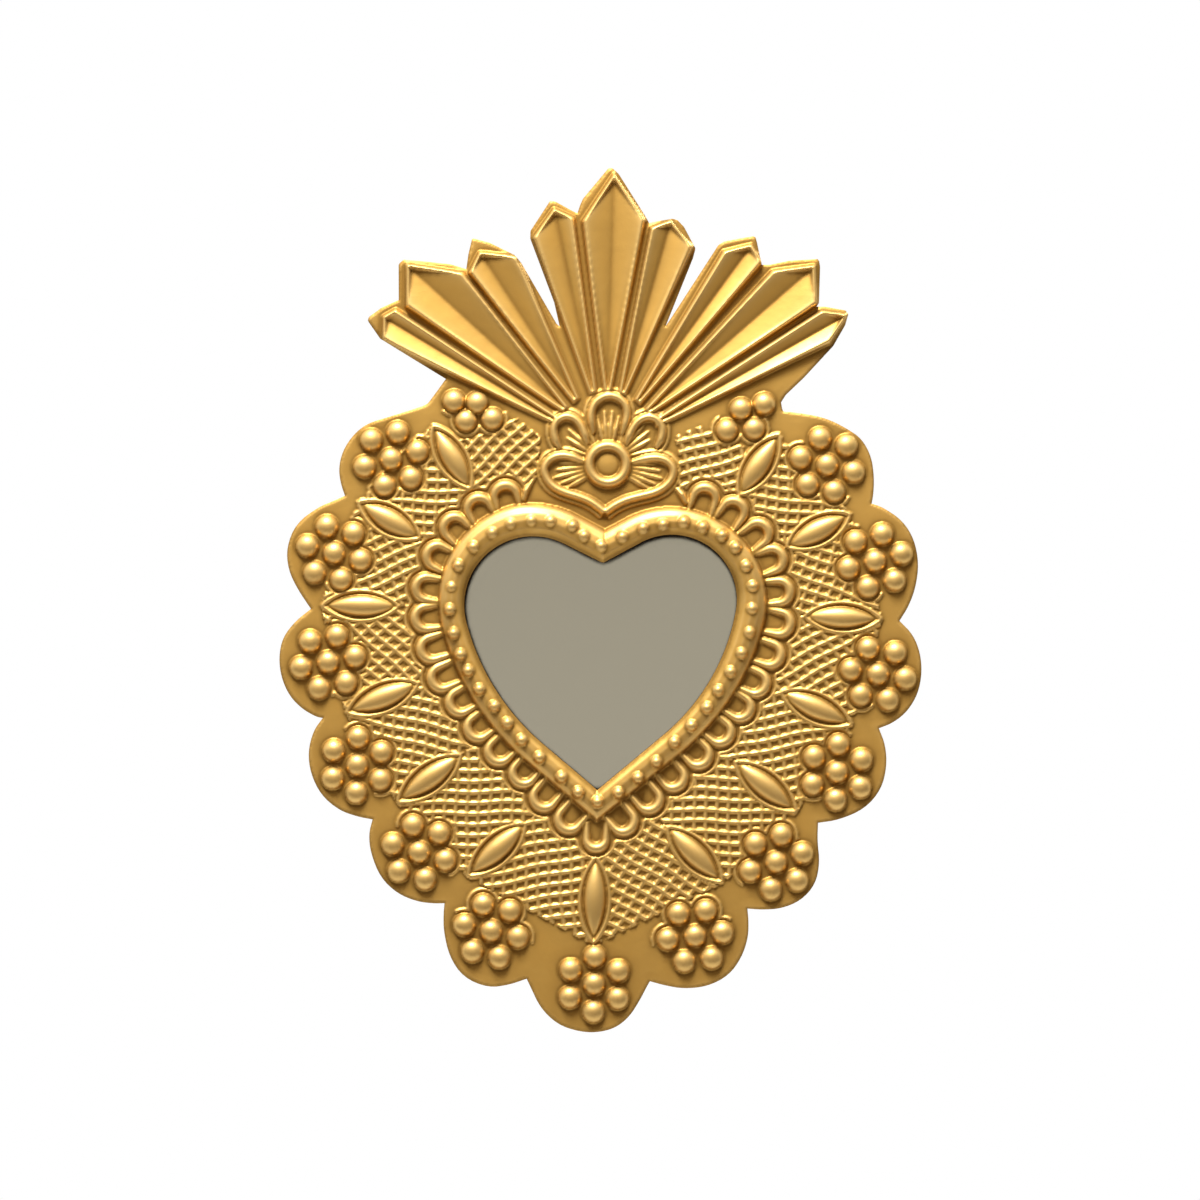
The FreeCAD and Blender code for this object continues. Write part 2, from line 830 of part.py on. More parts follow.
def across(profile, width):
    """Solid whose profile (z, height) is drawn across the centre line."""
    face = polygon_face(at(-width / 2, z, height) for z, height in profile)
    return face.extrude(FreeCAD.Vector(width, 0, 0))


def hanger_strap():
    """Strap soldered to the sheet's back, its upper end rolled into an eye."""
    inner = wire_radius + eye_clearance
    outer = inner + strap_thickness
    centre = at(-strap_width / 2, eye_z, ground - outer)
    along = FreeCAD.Vector(1, 0, 0)
    roll = Part.makeCylinder(outer, strap_width, centre, along)
    bore = Part.makeCylinder(inner, strap_width, centre, along)
    corner = at(-strap_width / 2, eye_z - strap_length, ground)
    tail = Part.makeBox(strap_width, strap_thickness, strap_length, corner)
    return tail.fuse(roll).cut(bore).removeSplitter()


def hanger_solder():
    low = eye_z - strap_length
    profile = ((low, ground), (low - hanger_solder_run, ground), (low, ground - strap_thickness))
    return across(profile, strap_width)


def bow_points():
    """Centre line of the ring, clockwise from the bar's left end."""
    low = eye_z - ring_corner
    inner = ring_half_width - ring_corner
    corner = [on_arc((inner, low), ring_corner, 90 - 90 * k / corner_bends) for k in range(corner_bends)]
    bow = [on_arc((0, low), ring_half_width, -180 * k / bow_bends) for k in range(bow_bends + 1)]
    return corner + bow + [(-x, z) for x, z in reversed(corner)]


def hanging_ring():
    """Wire D-ring: a straight bar in the eye and a bow that hangs from it, in short bends."""
    height = ground - strap_thickness - eye_clearance - wire_radius
    path = bow_points()
    rings = []
    for k, (x, z) in enumerate(path):
        x0, z0 = path[k - 1]
        x2, z2 = path[(k + 1) % len(path)]
        a = math.atan2(z - z0, x - x0)
        half = (math.atan2(z2 - z, x2 - x) - a) / 2
        half = math.atan2(math.sin(half), math.cos(half)) if abs(half) < math.pi / 2 else half + math.pi
        ring = []
        for k in range(wire_sides):
            out, up = turned(wire_radius, 360 * (k + 0.5) / wire_sides)
            reach = out / math.cos(half)
            ring.append(at(x - reach * math.sin(a + half), z + reach * math.cos(a + half), height + up))
        rings.append(ring)
    faces = []
    for k, ring in enumerate(rings):
        for n in range(wire_sides):
            faces.append(polygon_face((rings[k - 1][n - 1], rings[k - 1][n], ring[n], ring[n - 1])))
    return closed_solid(faces)


def save(name, shapes):
    shape = shapes[0] if len(shapes) == 1 else Part.makeCompound(shapes)
    print(name, "solids", len(shape.Solids), "valid", shape.isValid(), "volume", round(shape.Volume, 1))
    shape.exportStep("parts/" + name + ".step")


tab_places = [(share, side) for side in (1, -1) for share in tab_places_shares]
save("embossed_front", [embossed_front()])
save("mirror_glass", [mirror_glass()])
save("backing_card", [backing_card()])
save("back_plate", [back_plate()])
for number, (share, side) in enumerate(tab_places, start=1):
    save("retaining_tab_" + str(number), [retaining_tab(share, side)])
save("tab_solder", [tab_solder(share, side) for share, side in tab_places])
save("hanger_strap", [hanger_strap()])
save("hanger_solder", [hanger_solder()])
save("hanging_ring", [hanging_ring()])
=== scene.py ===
import bpy, math
import numpy as np
from mathutils import Matrix, Vector


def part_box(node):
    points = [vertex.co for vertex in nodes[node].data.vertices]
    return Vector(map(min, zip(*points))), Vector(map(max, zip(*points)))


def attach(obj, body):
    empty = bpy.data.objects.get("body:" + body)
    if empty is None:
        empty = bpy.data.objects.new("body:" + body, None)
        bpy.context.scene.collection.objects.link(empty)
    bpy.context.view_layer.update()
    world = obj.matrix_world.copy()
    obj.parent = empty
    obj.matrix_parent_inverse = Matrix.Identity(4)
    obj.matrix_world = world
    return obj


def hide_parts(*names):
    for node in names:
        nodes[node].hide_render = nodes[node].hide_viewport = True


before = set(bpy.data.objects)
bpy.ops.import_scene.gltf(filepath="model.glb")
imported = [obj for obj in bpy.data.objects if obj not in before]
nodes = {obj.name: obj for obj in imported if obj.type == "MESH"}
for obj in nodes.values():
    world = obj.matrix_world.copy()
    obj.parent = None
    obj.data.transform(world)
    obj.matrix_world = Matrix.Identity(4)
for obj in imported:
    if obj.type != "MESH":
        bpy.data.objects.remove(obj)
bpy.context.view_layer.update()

# Sizes are in millimetres here and become metres in place() and shift().
# x runs right, z up, and height stands out of the flat tin towards the viewer.
mm = 0.001
tin = {
    "thickness": 0.4,
    "grid": 0.5,          # spacing of the pressed mesh
    "softening": 2,       # smoothing passes after the press
    "edgeRoll": 0.7,      # rounding of the turned-back edge
    "unevenness": 0.10,   # height of the gentle waves left by the hand work
    "waves": ((0.061, 1.3), (0.047, 0.4)),      # their turn and start along x, then along z
    "slant": (0.13, 0.11, 0.6),                 # slanted waves: turn along x and z, and share
    "half": 130,          # half width of the blank, and its lowest and highest edge
    "low": -152,
    "high": 196,
}
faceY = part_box("mirror_glass")[0].y - tin["thickness"] * mm
upright = (math.pi / 2, 0, 0)


def place(x, z, height=0.0):
    return Vector((x * mm, faceY - height * mm, z * mm))


def pickOnly(thing):
    bpy.ops.object.select_all(action="DESELECT")
    thing.select_set(True)
    bpy.context.view_layer.objects.active = thing


def settle():
    # The active piece keeps its place and turn in its own mesh.
    bpy.ops.object.transform_apply(location=True, rotation=True, scale=True)


def editAll():
    bpy.ops.object.mode_set(mode="EDIT")
    bpy.ops.mesh.select_all(action="SELECT")


def leaveEdit():
    bpy.ops.object.mode_set(mode="OBJECT")
    return bpy.context.object


def editOnly(thing, kind, chosen):
    # Edit mode with only the chosen vertices, edges or faces selected.
    pickOnly(thing)
    bpy.ops.object.mode_set(mode="EDIT")
    bpy.ops.mesh.select_mode(type=kind)
    bpy.ops.mesh.select_all(action="DESELECT")
    bpy.ops.object.mode_set(mode="OBJECT")
    mesh = thing.data
    {"VERT": mesh.vertices, "EDGE": mesh.edges, "FACE": mesh.polygons}[kind].foreach_set("select", chosen)
    bpy.ops.object.mode_set(mode="EDIT")


def flattened(ratio):
    # The active mesh drawn in towards the tin's face.
    editAll()
    bpy.ops.transform.resize(value=(1, ratio, 1), center_override=(0, faceY, 0))
    return leaveEdit()


def readAll(items, name, width=1, kind=np.float32):
    # A property of every item, with a row for each.
    values = np.empty(len(items) * width, kind)
    items.foreach_get(name, values)
    return values.reshape(-1, width) if width > 1 else values


def addLayer(mesh, name, kind, domain, field, values):
    layer = mesh.attributes.get(name) or mesh.attributes.new(name, kind, domain)
    layer.data.foreach_set(field, values)


def joinAll(things, name):
    pickOnly(things[0])
    for thing in things:
        thing.select_set(True)
    bpy.ops.object.join()
    bpy.context.object.name = name
    return bpy.context.object


def onCircle(x, z, radius, degrees):
    turn = math.radians(degrees)
    return x + radius * math.cos(turn), z + radius * math.sin(turn)


def beyond(a, b, share):
    # Point past b on the line from a, by a share of its length.
    return b[0] + (b[0] - a[0]) * share, b[1] + (b[1] - a[1]) * share


# Camera: straight on with a long lens, rolled as in the photo
cameraView = {
    "distance": 2.4, "width": 0.48, "centre": (-0.78, 21.99), "roll": 1.4, "sensor": 36, "reach": 20,
}
cameraSpot = place(*cameraView["centre"]) + Vector((0, -cameraView["distance"], 0))
bpy.ops.object.camera_add(location=cameraSpot)
camera = bpy.context.object
roll = Matrix.Rotation(math.radians(-cameraView["roll"]), 3, "Y")
camera.rotation_euler = (roll @ Matrix.Rotation(math.pi / 2, 3, "X")).to_euler()
camera.data.sensor_width = cameraView["sensor"]
camera.data.lens = cameraView["sensor"] * cameraView["distance"] / cameraView["width"]
camera.data.clip_end = cameraView["reach"]
bpy.context.scene.camera = camera
print("camera ready")


# The heart window: its halves differ a little, as cut by hand; both are given as if on the right.
# lobe and side are circles (x, z, radius); the angles are where one arc ends and the next begins.
heart = {
    "cleftZ": 36.8, "cleftStretch": 1.13, "tipZ": -54.0, "tipStretch": 1.305,
    "right": {
        "lobe": (27.9, 22.8, 26), "slope": 29.8, "turn": -9, "side": (-29.4, 31.9, 84), "lean": 48.9,
    },
    "left": {
        "lobe": (27.5, 19.3, 27.5), "slope": 25, "turn": -16, "side": (-37.4, 37.9, 95), "lean": 51.2,
    },
}


def runShares(points):
    # Share of a line's whole length at each of its points.
    marks = np.concatenate([[0], np.cumsum(np.hypot(*np.diff(np.array(points), axis=0).T))])
    return marks / marks[-1]


def heartHalf(side, offset):
    # Half of a line round the window, cleft to tip; the offset is one number
    # or stops of (share of the run, offset).
    form = heart[side]
    stops = [(0.0, offset), (1.0, offset)] if isinstance(offset, (int, float)) else offset
    arcs = [(*form["lobe"], turn) for turn in np.linspace(90 + form["slope"], form["turn"], 64)]
    arcs += [(*form["side"], turn) for turn in np.linspace(form["turn"], -form["lean"], 50)[1:]]
    edge = [onCircle(*arc) for arc in arcs]
    out = np.interp(runShares([(0.0, heart["cleftZ"])] + edge + [(0.0, heart["tipZ"])]), *zip(*stops))
    moved = [onCircle(x, z, far, arc[3]) for (x, z), arc, far in zip(edge, arcs, out[1:-1])]
    cleft = (0.0, heart["cleftZ"] + out[0] * heart["cleftStretch"])
    return [cleft] + moved + [(0.0, heart["tipZ"] - out[-1] * heart["tipStretch"])]


def heartLoop(offset):
    left = heartHalf("left", offset)
    return heartHalf("right", offset) + [(-x, z) for x, z in reversed(left[1:-1])]


# Outline of the tin: the crown cut by hand, then the scallops
crownOutline = [
    (-64.6, 108.9), (-91.2, 124.3), (-96.4, 131.4), (-96, 132.9), (-91.2, 136.6), (-84.2, 140),
    (-84.6, 154.4), (-82.6, 156.2), (-76.1, 155.8), (-63.8, 154.8), (-57.5, 153), (-56.8, 159),
    (-55.4, 165.5), (-48.5, 163.8), (-38.5, 159.2), (-35.4, 155.8), (-20.8, 132), (-19.6, 131),
    (-22, 140.5), (-32.2, 165.8), (-32.2, 168.9), (-24.6, 181.2), (-22.3, 180.8), (-15.8, 177.4),
    (-13.6, 176.4), (-12.6, 179.7), (-11.5, 182.3), (-1.5, 194.9), (0, 194.8), (2.6, 192.5), (13.9, 175.5),
    (15.2, 173.2), (16.9, 173.7), (24.6, 175.2), (26.6, 174.6), (29.2, 172), (34, 163.5), (33.1, 159.7),
    (22.8, 132.2), (24.2, 134.3), (43.1, 165.1), (45.4, 166.6), (50.8, 167.8), (57.7, 169.1), (58.5, 166.6),
    (60.6, 157.6), (63.9, 157.7), (71.5, 159.5), (83.4, 160.5), (84, 157.4), (83.9, 142.9), (83, 141.4),
    (86.2, 141.5), (94.6, 140.2), (95.7, 138.6), (94.6, 134.3), (90, 125.8), (78.5, 112.8), (71.5, 105.8),
    (69.7, 102.8), (70.2, 100.2),
]
lobes = [         # each lobe from its cusp, clockwise from the right of the neck
    [(70.7, 99.2), (78.5, 98.6), (88.1, 96.9), (96.5, 92.9), (102.4, 89), (106.4, 82), (107.7, 73.5),
     (107.5, 66.5)],
    [(106.9, 63.2), (111.4, 61.9), (119.4, 56.8), (124.3, 49.4), (126.4, 39.8), (125.4, 30.2), (122.7, 22.4)],
    [(119.2, 16.6), (124.8, 11.2), (127.9, 3.8), (128.7, -4.2), (127.4, -12.2), (123.4, -19.4),
     (117.8, -24.2)],
    [(112, -26.6), (114.8, -33.2), (115.6, -41.6), (113.6, -51), (107.2, -58.9), (97, -63.6)],
    [(88.6, -65), (88.5, -72.2), (89.7, -80.8), (88.2, -89.6), (82.6, -96.2), (74.7, -99.7), (67, -100.3)],
    [(61.2, -100), (61.8, -105), (61.8, -111.5), (59.4, -119.6), (54.3, -127), (46, -131.5), (36.5, -132.7),
     (28.8, -131.5)],
    [(22.9, -130), (21.6, -132.4), (19, -137.8), (15, -144.5), (9.3, -149.2), (2, -151.1), (-5.2, -150.8),
     (-13.6, -148.2), (-20.6, -141.8), (-24.7, -133.6)],
    [(-26.4, -130.2), (-33.3, -132.8), (-41.8, -134.2), (-51.7, -130.3), (-57.5, -122.2), (-60.1, -112),
     (-60.3, -105)],
    [(-60, -100.8), (-64.6, -101), (-71, -100.4), (-79, -97.4), (-86, -91), (-90.1, -81.2), (-91, -73.8)],
    [(-89.6, -68), (-95.8, -67), (-103.2, -64.6), (-110.6, -58.6), (-114.9, -50), (-116.1, -41.6),
     (-114.2, -33.2)],
    [(-110.5, -27.9), (-113.2, -27.5), (-118.8, -24.5), (-124, -19.5), (-127.5, -12.2), (-128.7, -4.2),
     (-127.4, 3.8), (-122.4, 10.6)],
    [(-116.3, 15.6), (-122, 23.6), (-125.8, 31.2), (-126.7, 40), (-123.1, 49.6), (-114.4, 56.4),
     (-108.5, 58.9)],
    [(-103.8, 61.2), (-105.6, 66), (-106.5, 71.2), (-105.9, 76.4), (-103.8, 81.7), (-99.8, 87),
     (-94.9, 90.6), (-88, 92.8), (-81, 95.2), (-73.3, 97.9)],
]
neckSide = [(-71.6, 98.9), (-70.6, 100.2), (-67.8, 104.2)]


def smoothLine(points, rounds=2):
    # Corners of a listed line cut off, its ends kept.
    for _ in range(rounds):
        cut = [points[0]]
        for (x0, z0), (x1, z1) in zip(points, points[1:]):
            cut += [(x0 * 0.75 + x1 * 0.25, z0 * 0.75 + z1 * 0.25),
                    (x0 * 0.25 + x1 * 0.75, z0 * 0.25 + z1 * 0.75)]
        points = cut + [points[-1]]
    return points


outline = list(crownOutline)
for lobe, after in zip(lobes, lobes[1:] + [neckSide]):
    outline += smoothLine(lobe + [after[0]])[:-1]
outline += neckSide

# Places of the embossed forms, read from the photo
clusters = [      # centre of seven beads and the first bead's turn: right side, left side and tip
    (88.7, 78.2, 46.4), (108.8, 40.3, 16.4), (111.1, -4.9, 52.4),
    (95.7, -44.5, 28.4), (72.2, -81.1, 20.4), (40.5, -111.4, 8.4),
    (-85.7, 76.3, 17.4), (-107.6, 38.2, 46.4), (-108.9, -5.5, 12.4),
    (-96.3, -46.4, 29.4), (-70.7, -80.6, 44.4), (-41.1, -111.4, 48.4),
    (0.6, -131.6, 30),
]
neckBeads = [
    (62.9, 102), (53.7, 99.7), (59.1, 91.9), (48.3, 91.2),
    (-61.1, 100.1), (-51.9, 99.6), (-56.1, 92.3), (-45.7, 93.3),
]
leaves = [        # outer and inner end of each bulge
    ((68, 88.1), (54.2, 66.1)), ((96.4, 57.7), (74.2, 45.6)), ((109.6, 17.2), (82.2, 17.6)),
    ((99, -24.4), (73.6, -13.4)), ((78, -59.2), (55.8, -42)), ((49.2, -88), (29.2, -68.8)),
]
leaves += [((-x0, z0), (-x1, z1)) for (x0, z0), (x1, z1) in leaves] + [((0, -113), (0, -82))]
flower = {
    "middle": (1, 76.4), "ring": (7.4, 2.2, 3.1), "floor": (5.6, 1.1),      # radius, width and height
    "rim": (1.8, 2.5), "contourOut": 2.6, "contour": (0.8, 0.9), "rib": (1.1, 1.15), "ribStart": 9.5,
    "ribFall": 1.5, "crescent": (1.5, 1.9),
    "crescents": [
        [(-28.5, 69.8, 0.5), (-31.5, 65, 1), (-32.3, 60.5, 0.6)],
        [(28.5, 67.5, 0.5), (31, 65, 1), (33, 61, 0.6)],
    ],
    "topPetal": [(-5, 88.5), (-6.4, 95.6), (-5.2, 100.4), (-2, 103.2), (1.2, 104), (4.8, 103.2),
        (7.6, 100.4), (8.4, 96.4), (7.4, 91.6), (6.2, 88)],
    "upperLeft": [(-7, 84), (-8.4, 87.6), (-10, 91.6), (-12.8, 94.6), (-16.4, 95.4), (-19.8, 93.6),
        (-21.2, 90), (-20.4, 85.6), (-18, 82)],
    "upperRight": [(8, 84), (9, 87.5), (10.6, 91.2), (13, 94.4), (16.6, 96), (20.4, 95), (22.7, 91.6),
        (22.3, 86.8), (20, 83.2)],
    "lowerLeft": [(-6.5, 76.8), (-9.6, 77.6), (-13.6, 79.2), (-18.4, 79.6), (-22.4, 78), (-24.6, 74.4),
        (-23.8, 70.4), (-20.8, 66.8), (-16, 64.6), (-10.4, 63.2), (-5.6, 61.4), (-1.6, 58.6), (0.3, 57)],
    "lowerRight": [(9.5, 77), (11.8, 77.8), (15.2, 78.8), (20, 79.6), (24.4, 78.8), (27.4, 75.6),
        (27.2, 71.6), (24.4, 68), (20, 65.4), (14.4, 64), (8.8, 62.4), (4, 60), (0.3, 57)],
    # middle turn, ribs, turn between them, reach
    "ribTurns": [(91, 4, 8.5, 22), (136, 4, 8.5, 22), (44, 4, 8.5, 22), (196, 5, 8, 22.5),
        (-14, 5, 8, 23)],
}
rays = [          # tip, left shoulder and right shoulder of the crest (turn, reach), and the root's turn
    ((-61.4, 102), (-65.9, 98.1), (-58.9, 99.6), -65),
    ((-49.2, 106.6), (-56.3, 96.7), (-41.4, 89.2), -50),
    ((-34.6, 91.4), (-39.4, 87.5), (-26.9, 83), -35), ((-13.7, 95.9), (-20.3, 87.5), (-9.8, 91.4), -15),
    ((0.4, 107.2), (-6.9, 89.8), (8.1, 90.9), 0.6), ((14.8, 92.7), (10.7, 88.4), (21.8, 86.1), 16.5),
    ((34.7, 98.3), (30.3, 90.4), (38.9, 95.6), 35), ((48, 109.3), (42.7, 96.2), (54.6, 101.2), 50),
    ((60.2, 108.8), (57, 101.3), (63.7, 98.2), 65),
]
fan = {
    "z": 84.0, "root": 22.0, "rootHalfTurn": 2.3, "rim": 1.3, "rounding": 0.55, "sink": 0.2,
    "crest": 3.9, "rootCrest": 2.1, "valley": 0.25, "head": 0.985, "headHeight": 1.1,
}


# The dies: the shapes that the tin is pressed over
def ridgeDie(name, lines, radius, height, closed=False):
    # Half-round ridges along lines of (x, z) or (x, z, width share).
    bpy.ops.curve.primitive_nurbs_path_add()
    wire = bpy.context.object
    wire.name = name
    wire.data.splines.clear()
    for line in lines:
        spline = wire.data.splines.new("POLY")
        spline.points.add(len(line) - 1)
        for point, stop in zip(spline.points, line):
            point.co = (*place(*stop[:2]), 1)
            point.radius = stop[2] if len(stop) > 2 else 1.0
        spline.use_cyclic_u = closed
    wire.data.bevel_depth = radius * mm
    wire.data.bevel_resolution = 5
    wire.data.use_fill_caps = True
    bpy.ops.object.convert(target="MESH")
    return flattened(height / radius)


def copiesOf(model, spots):
    # Copies of a die with their own meshes, one for each matrix; the model goes.
    made = []
    for spot in spots:
        twin = model.copy()
        twin.data = model.data.copy()
        bpy.context.collection.objects.link(twin)
        twin.data.transform(spot)
        made.append(twin)
    bpy.data.objects.remove(model)
    return made


def shift(x, z, height=0.0):
    return Matrix.Translation(Vector((x * mm, -height * mm, z * mm)))


def roundDie(radius, height, segments=40):
    # Half ball on the tin at the origin.
    bpy.ops.mesh.primitive_uv_sphere_add(segments=segments, ring_count=segments // 2, radius=radius * mm,
                                         location=place(0, 0))
    settle()
    flattened(height / radius)
    editAll()
    bpy.ops.mesh.bisect(plane_co=(0, faceY, 0), plane_no=(0, 1, 0), clear_outer=True)
    return leaveEdit()


beadForm = {
    "radius": 4.6, "height": 3.9, "ring": 11.0, "contour": 6.1, "neckContour": 5.8, "line": (0.7, 0.8),
}


def clusterCentres(cluster):
    x, z, first = cluster
    return [(x, z)] + [onCircle(x, z, beadForm["ring"], first + 60 * k) for k in range(6)]


def makeBeadDies():
    spots = [centre for cluster in clusters for centre in clusterCentres(cluster)] + neckBeads
    bead = roundDie(beadForm["radius"], beadForm["height"])
    return copiesOf(bead, [shift(x, z) for x, z in spots])


leafForm = {
    "halfLength": 13.0, "halfWidth": 4.4, "height": 3.4,
    "contourWidth": 6.0, "contourPast": (2.2, 1.0), "ridge": 0.95, "ridgeHeight": 1.25,
}


def makeLeafDies():
    # A bow spun round its chord, set along every leaf.
    half, width = leafForm["halfLength"], leafForm["halfWidth"]
    radius = (half * half + width * width) / (2 * width)
    middle = (0, 0, (width - radius) * mm)
    bpy.ops.mesh.primitive_circle_add(vertices=160, radius=radius * mm, location=middle,
                                      rotation=upright)
    settle()
    editAll()
    bpy.ops.mesh.bisect(plane_co=(0, 0, 0), plane_no=(0, 0, 1), clear_inner=True)
    bpy.ops.mesh.select_all(action="SELECT")
    bpy.ops.mesh.spin(steps=28, angle=2 * math.pi, center=(0, 0, 0), axis=(1, 0, 0))
    bpy.ops.mesh.select_all(action="SELECT")
    bpy.ops.mesh.remove_doubles(threshold=0.00001)
    bpy.ops.transform.resize(value=(1, leafForm["height"] / width, 1), center_override=(0, 0, 0))
    bow = leaveEdit()
    spots = []
    for (x0, z0), (x1, z1) in leaves:
        turn = Matrix.Rotation(-math.atan2(z1 - z0, x1 - x0), 4, "Y")
        stretch = Matrix.Diagonal((math.dist((x0, z0), (x1, z1)) / 2 / half, 1, 1, 1))
        spots.append(Matrix.Translation(place((x0 + x1) / 2, (z0 + z1) / 2)) @ turn @ stretch)
    return copiesOf(bow, spots)


def leafContour(leaf, extra=0.0):
    # Pointed ring round a leaf's bulge, from its outer tip.
    (x0, z0), (x1, z1) = leaf
    run = math.dist(leaf[0], leaf[1])
    ux, uz = (x0 - x1) / run, (z0 - z1) / run
    outPast, inPast = (past + extra for past in leafForm["contourPast"])
    outer, inner = (x0 + ux * outPast, z0 + uz * outPast), (x1 - ux * inPast, z1 - uz * inPast)
    half = math.dist(outer, inner) / 2
    mx, mz = (outer[0] + inner[0]) / 2, (outer[1] + inner[1]) / 2
    ring = []
    for side in (1, -1):
        for k in range(24):
            along = side * (1 - k / 12)
            bow = side * (leafForm["contourWidth"] + extra) * (1 - along * along) ** 0.85
            ring.append((mx + ux * half * along - uz * bow, mz + uz * half * along + ux * bow))
    return ring


def wavyEdge(beads, middle, radius, turns):
    # Line round a group of beads: the far side of their circles at each turn.
    line = []
    for turn in turns:
        ux, uz = math.cos(turn), math.sin(turn)
        far = 0
        for x, z in beads:
            along = (x - middle[0]) * ux + (z - middle[1]) * uz
            aside = (x - middle[0]) * uz - (z - middle[1]) * ux
            if abs(aside) < radius:
                far = max(far, along + math.sqrt(radius * radius - aside * aside))
        line.append((middle[0] + ux * far, middle[1] + uz * far))
    return line


def clusterEdge(cluster, radius, steps=180):
    turns = [2 * math.pi * k / steps for k in range(steps)]
    return wavyEdge(clusterCentres(cluster), cluster[:2], radius, turns)


def inPolygon(x, z, polygon):
    # Which of the points (arrays) lie inside a closed polygon.
    inside = np.zeros(np.shape(x), bool)
    for (x0, z0), (x1, z1) in zip(polygon, polygon[1:] + polygon[:1]):
        if z0 != z1:
            crosses = (z0 > z) != (z1 > z)
            inside ^= crosses & (x < (x1 - x0) * (z - z0) / (z1 - z0) + x0)
    return inside


def nearestOn(x, z, loops):
    # Nearest point to each (x, z) on a set of closed lines, and its distance.
    best = np.full(len(x), 1e9)
    bestX, bestZ = x.copy(), z.copy()
    for loop in loops:
        for (x0, z0), (x1, z1) in zip(loop, loop[1:] + loop[:1]):
            dx, dz = x1 - x0, z1 - z0
            share = np.clip(((x - x0) * dx + (z - z0) * dz) / (dx * dx + dz * dz), 0, 1)
            nx, nz = x0 + dx * share, z0 + dz * share
            away = np.hypot(x - nx, z - nz)
            nearer = away < best
            best[nearer], bestX[nearer], bestZ[nearer] = away[nearer], nx[nearer], nz[nearer]
    return bestX, bestZ, best


arches = {        # centres of the arcs, from the top of each side down to the tip
    "left": [(-39.5, 62.5), (-50, 57.2), (-59.5, 49.3), (-66, 37.8), (-70, 25), (-70, 13.2), (-67.5, 1),
        (-63, -10.5), (-55.5, -20), (-48, -30), (-39.5, -39.3), (-29.5, -47.8), (-21, -57.2),
        (-10.8, -65.8)],
    "right": [(40, 63.5), (51.5, 58.5), (61.5, 50), (67.5, 39.7), (70.5, 27), (71, 14.5), (67.5, 2),
        (62, -9.5), (56, -19.5), (48.3, -29.5), (39.8, -38.8), (30, -48), (20.5, -57), (10.5, -66)],
    "tip": (0, -73.5), "crest": 4.6, "leg": 6.5, "ridge": 2.25, "height": 2.5,
    "contour": 8.5, "contourRidge": 0.7, "contourHeight": 0.9, "tipShare": 0.85,
    "widths": (0.45, 0.62, 0.74),     # share of the ridge's width at the foot, on the leg and at the shoulder
}


def archFrames():
    # Centre, outward direction and crest radius of every arch, from the upper left round the tip.
    centres = arches["left"] + [arches["tip"]] + arches["right"][::-1]
    x, z = (np.array(values, float) for values in zip(*centres))
    nearX, nearZ, away = nearestOn(x, z, [heartLoop(2.0)])
    crests = [arches["crest"] * (arches["tipShare"] if centre == arches["tip"] else 1) for centre in centres]
    return list(zip(x, z, (x - nearX) / away, (z - nearZ) / away, crests))


def archLine(frameOfArch):
    # U-shaped line that stands on the moulding, widest at its crest.
    x, z, ux, uz, crest = frameOfArch
    leg = arches["leg"]
    foot, middle, shoulder = arches["widths"]
    line = [(-crest, -leg, foot), (-crest, -leg * 0.45, middle)]
    for k in range(15):
        across, out = onCircle(0, 0, 1, 180 - 180 * k / 14)
        line.append((crest * across, crest * out, shoulder + (1 - shoulder) * out))
    line += [(crest, -leg * 0.45, middle), (crest, -leg, foot)]
    return [(x + uz * across + ux * out, z - ux * across + uz * out, width) for across, out, width in line]


def archContour(step=0.8, halfTurn=80):
    # One scalloped line outside all the arches.
    frames = archFrames()
    line = []
    for k, (x, z, ux, uz, crest) in enumerate(frames):
        reach = arches["contour"] - arches["crest"] + crest
        start = math.degrees(math.atan2(uz, ux)) - halfTurn
        count = int(math.radians(2 * halfTurn) * reach / step) + 1
        beside = [(f[0], f[1]) for f in frames[max(k - 1, 0):k + 2] if f[:2] != (x, z)]
        arc = [onCircle(x, z, reach, start + 2 * halfTurn * n / count) for n in range(count + 1)]
        line += [point for point in arc if all(math.dist(point, other) > reach for other in beside)]
    return line


def fanPoint(turn, reach):
    return reach * math.sin(math.radians(turn)), fan["z"] + reach * math.cos(math.radians(turn))


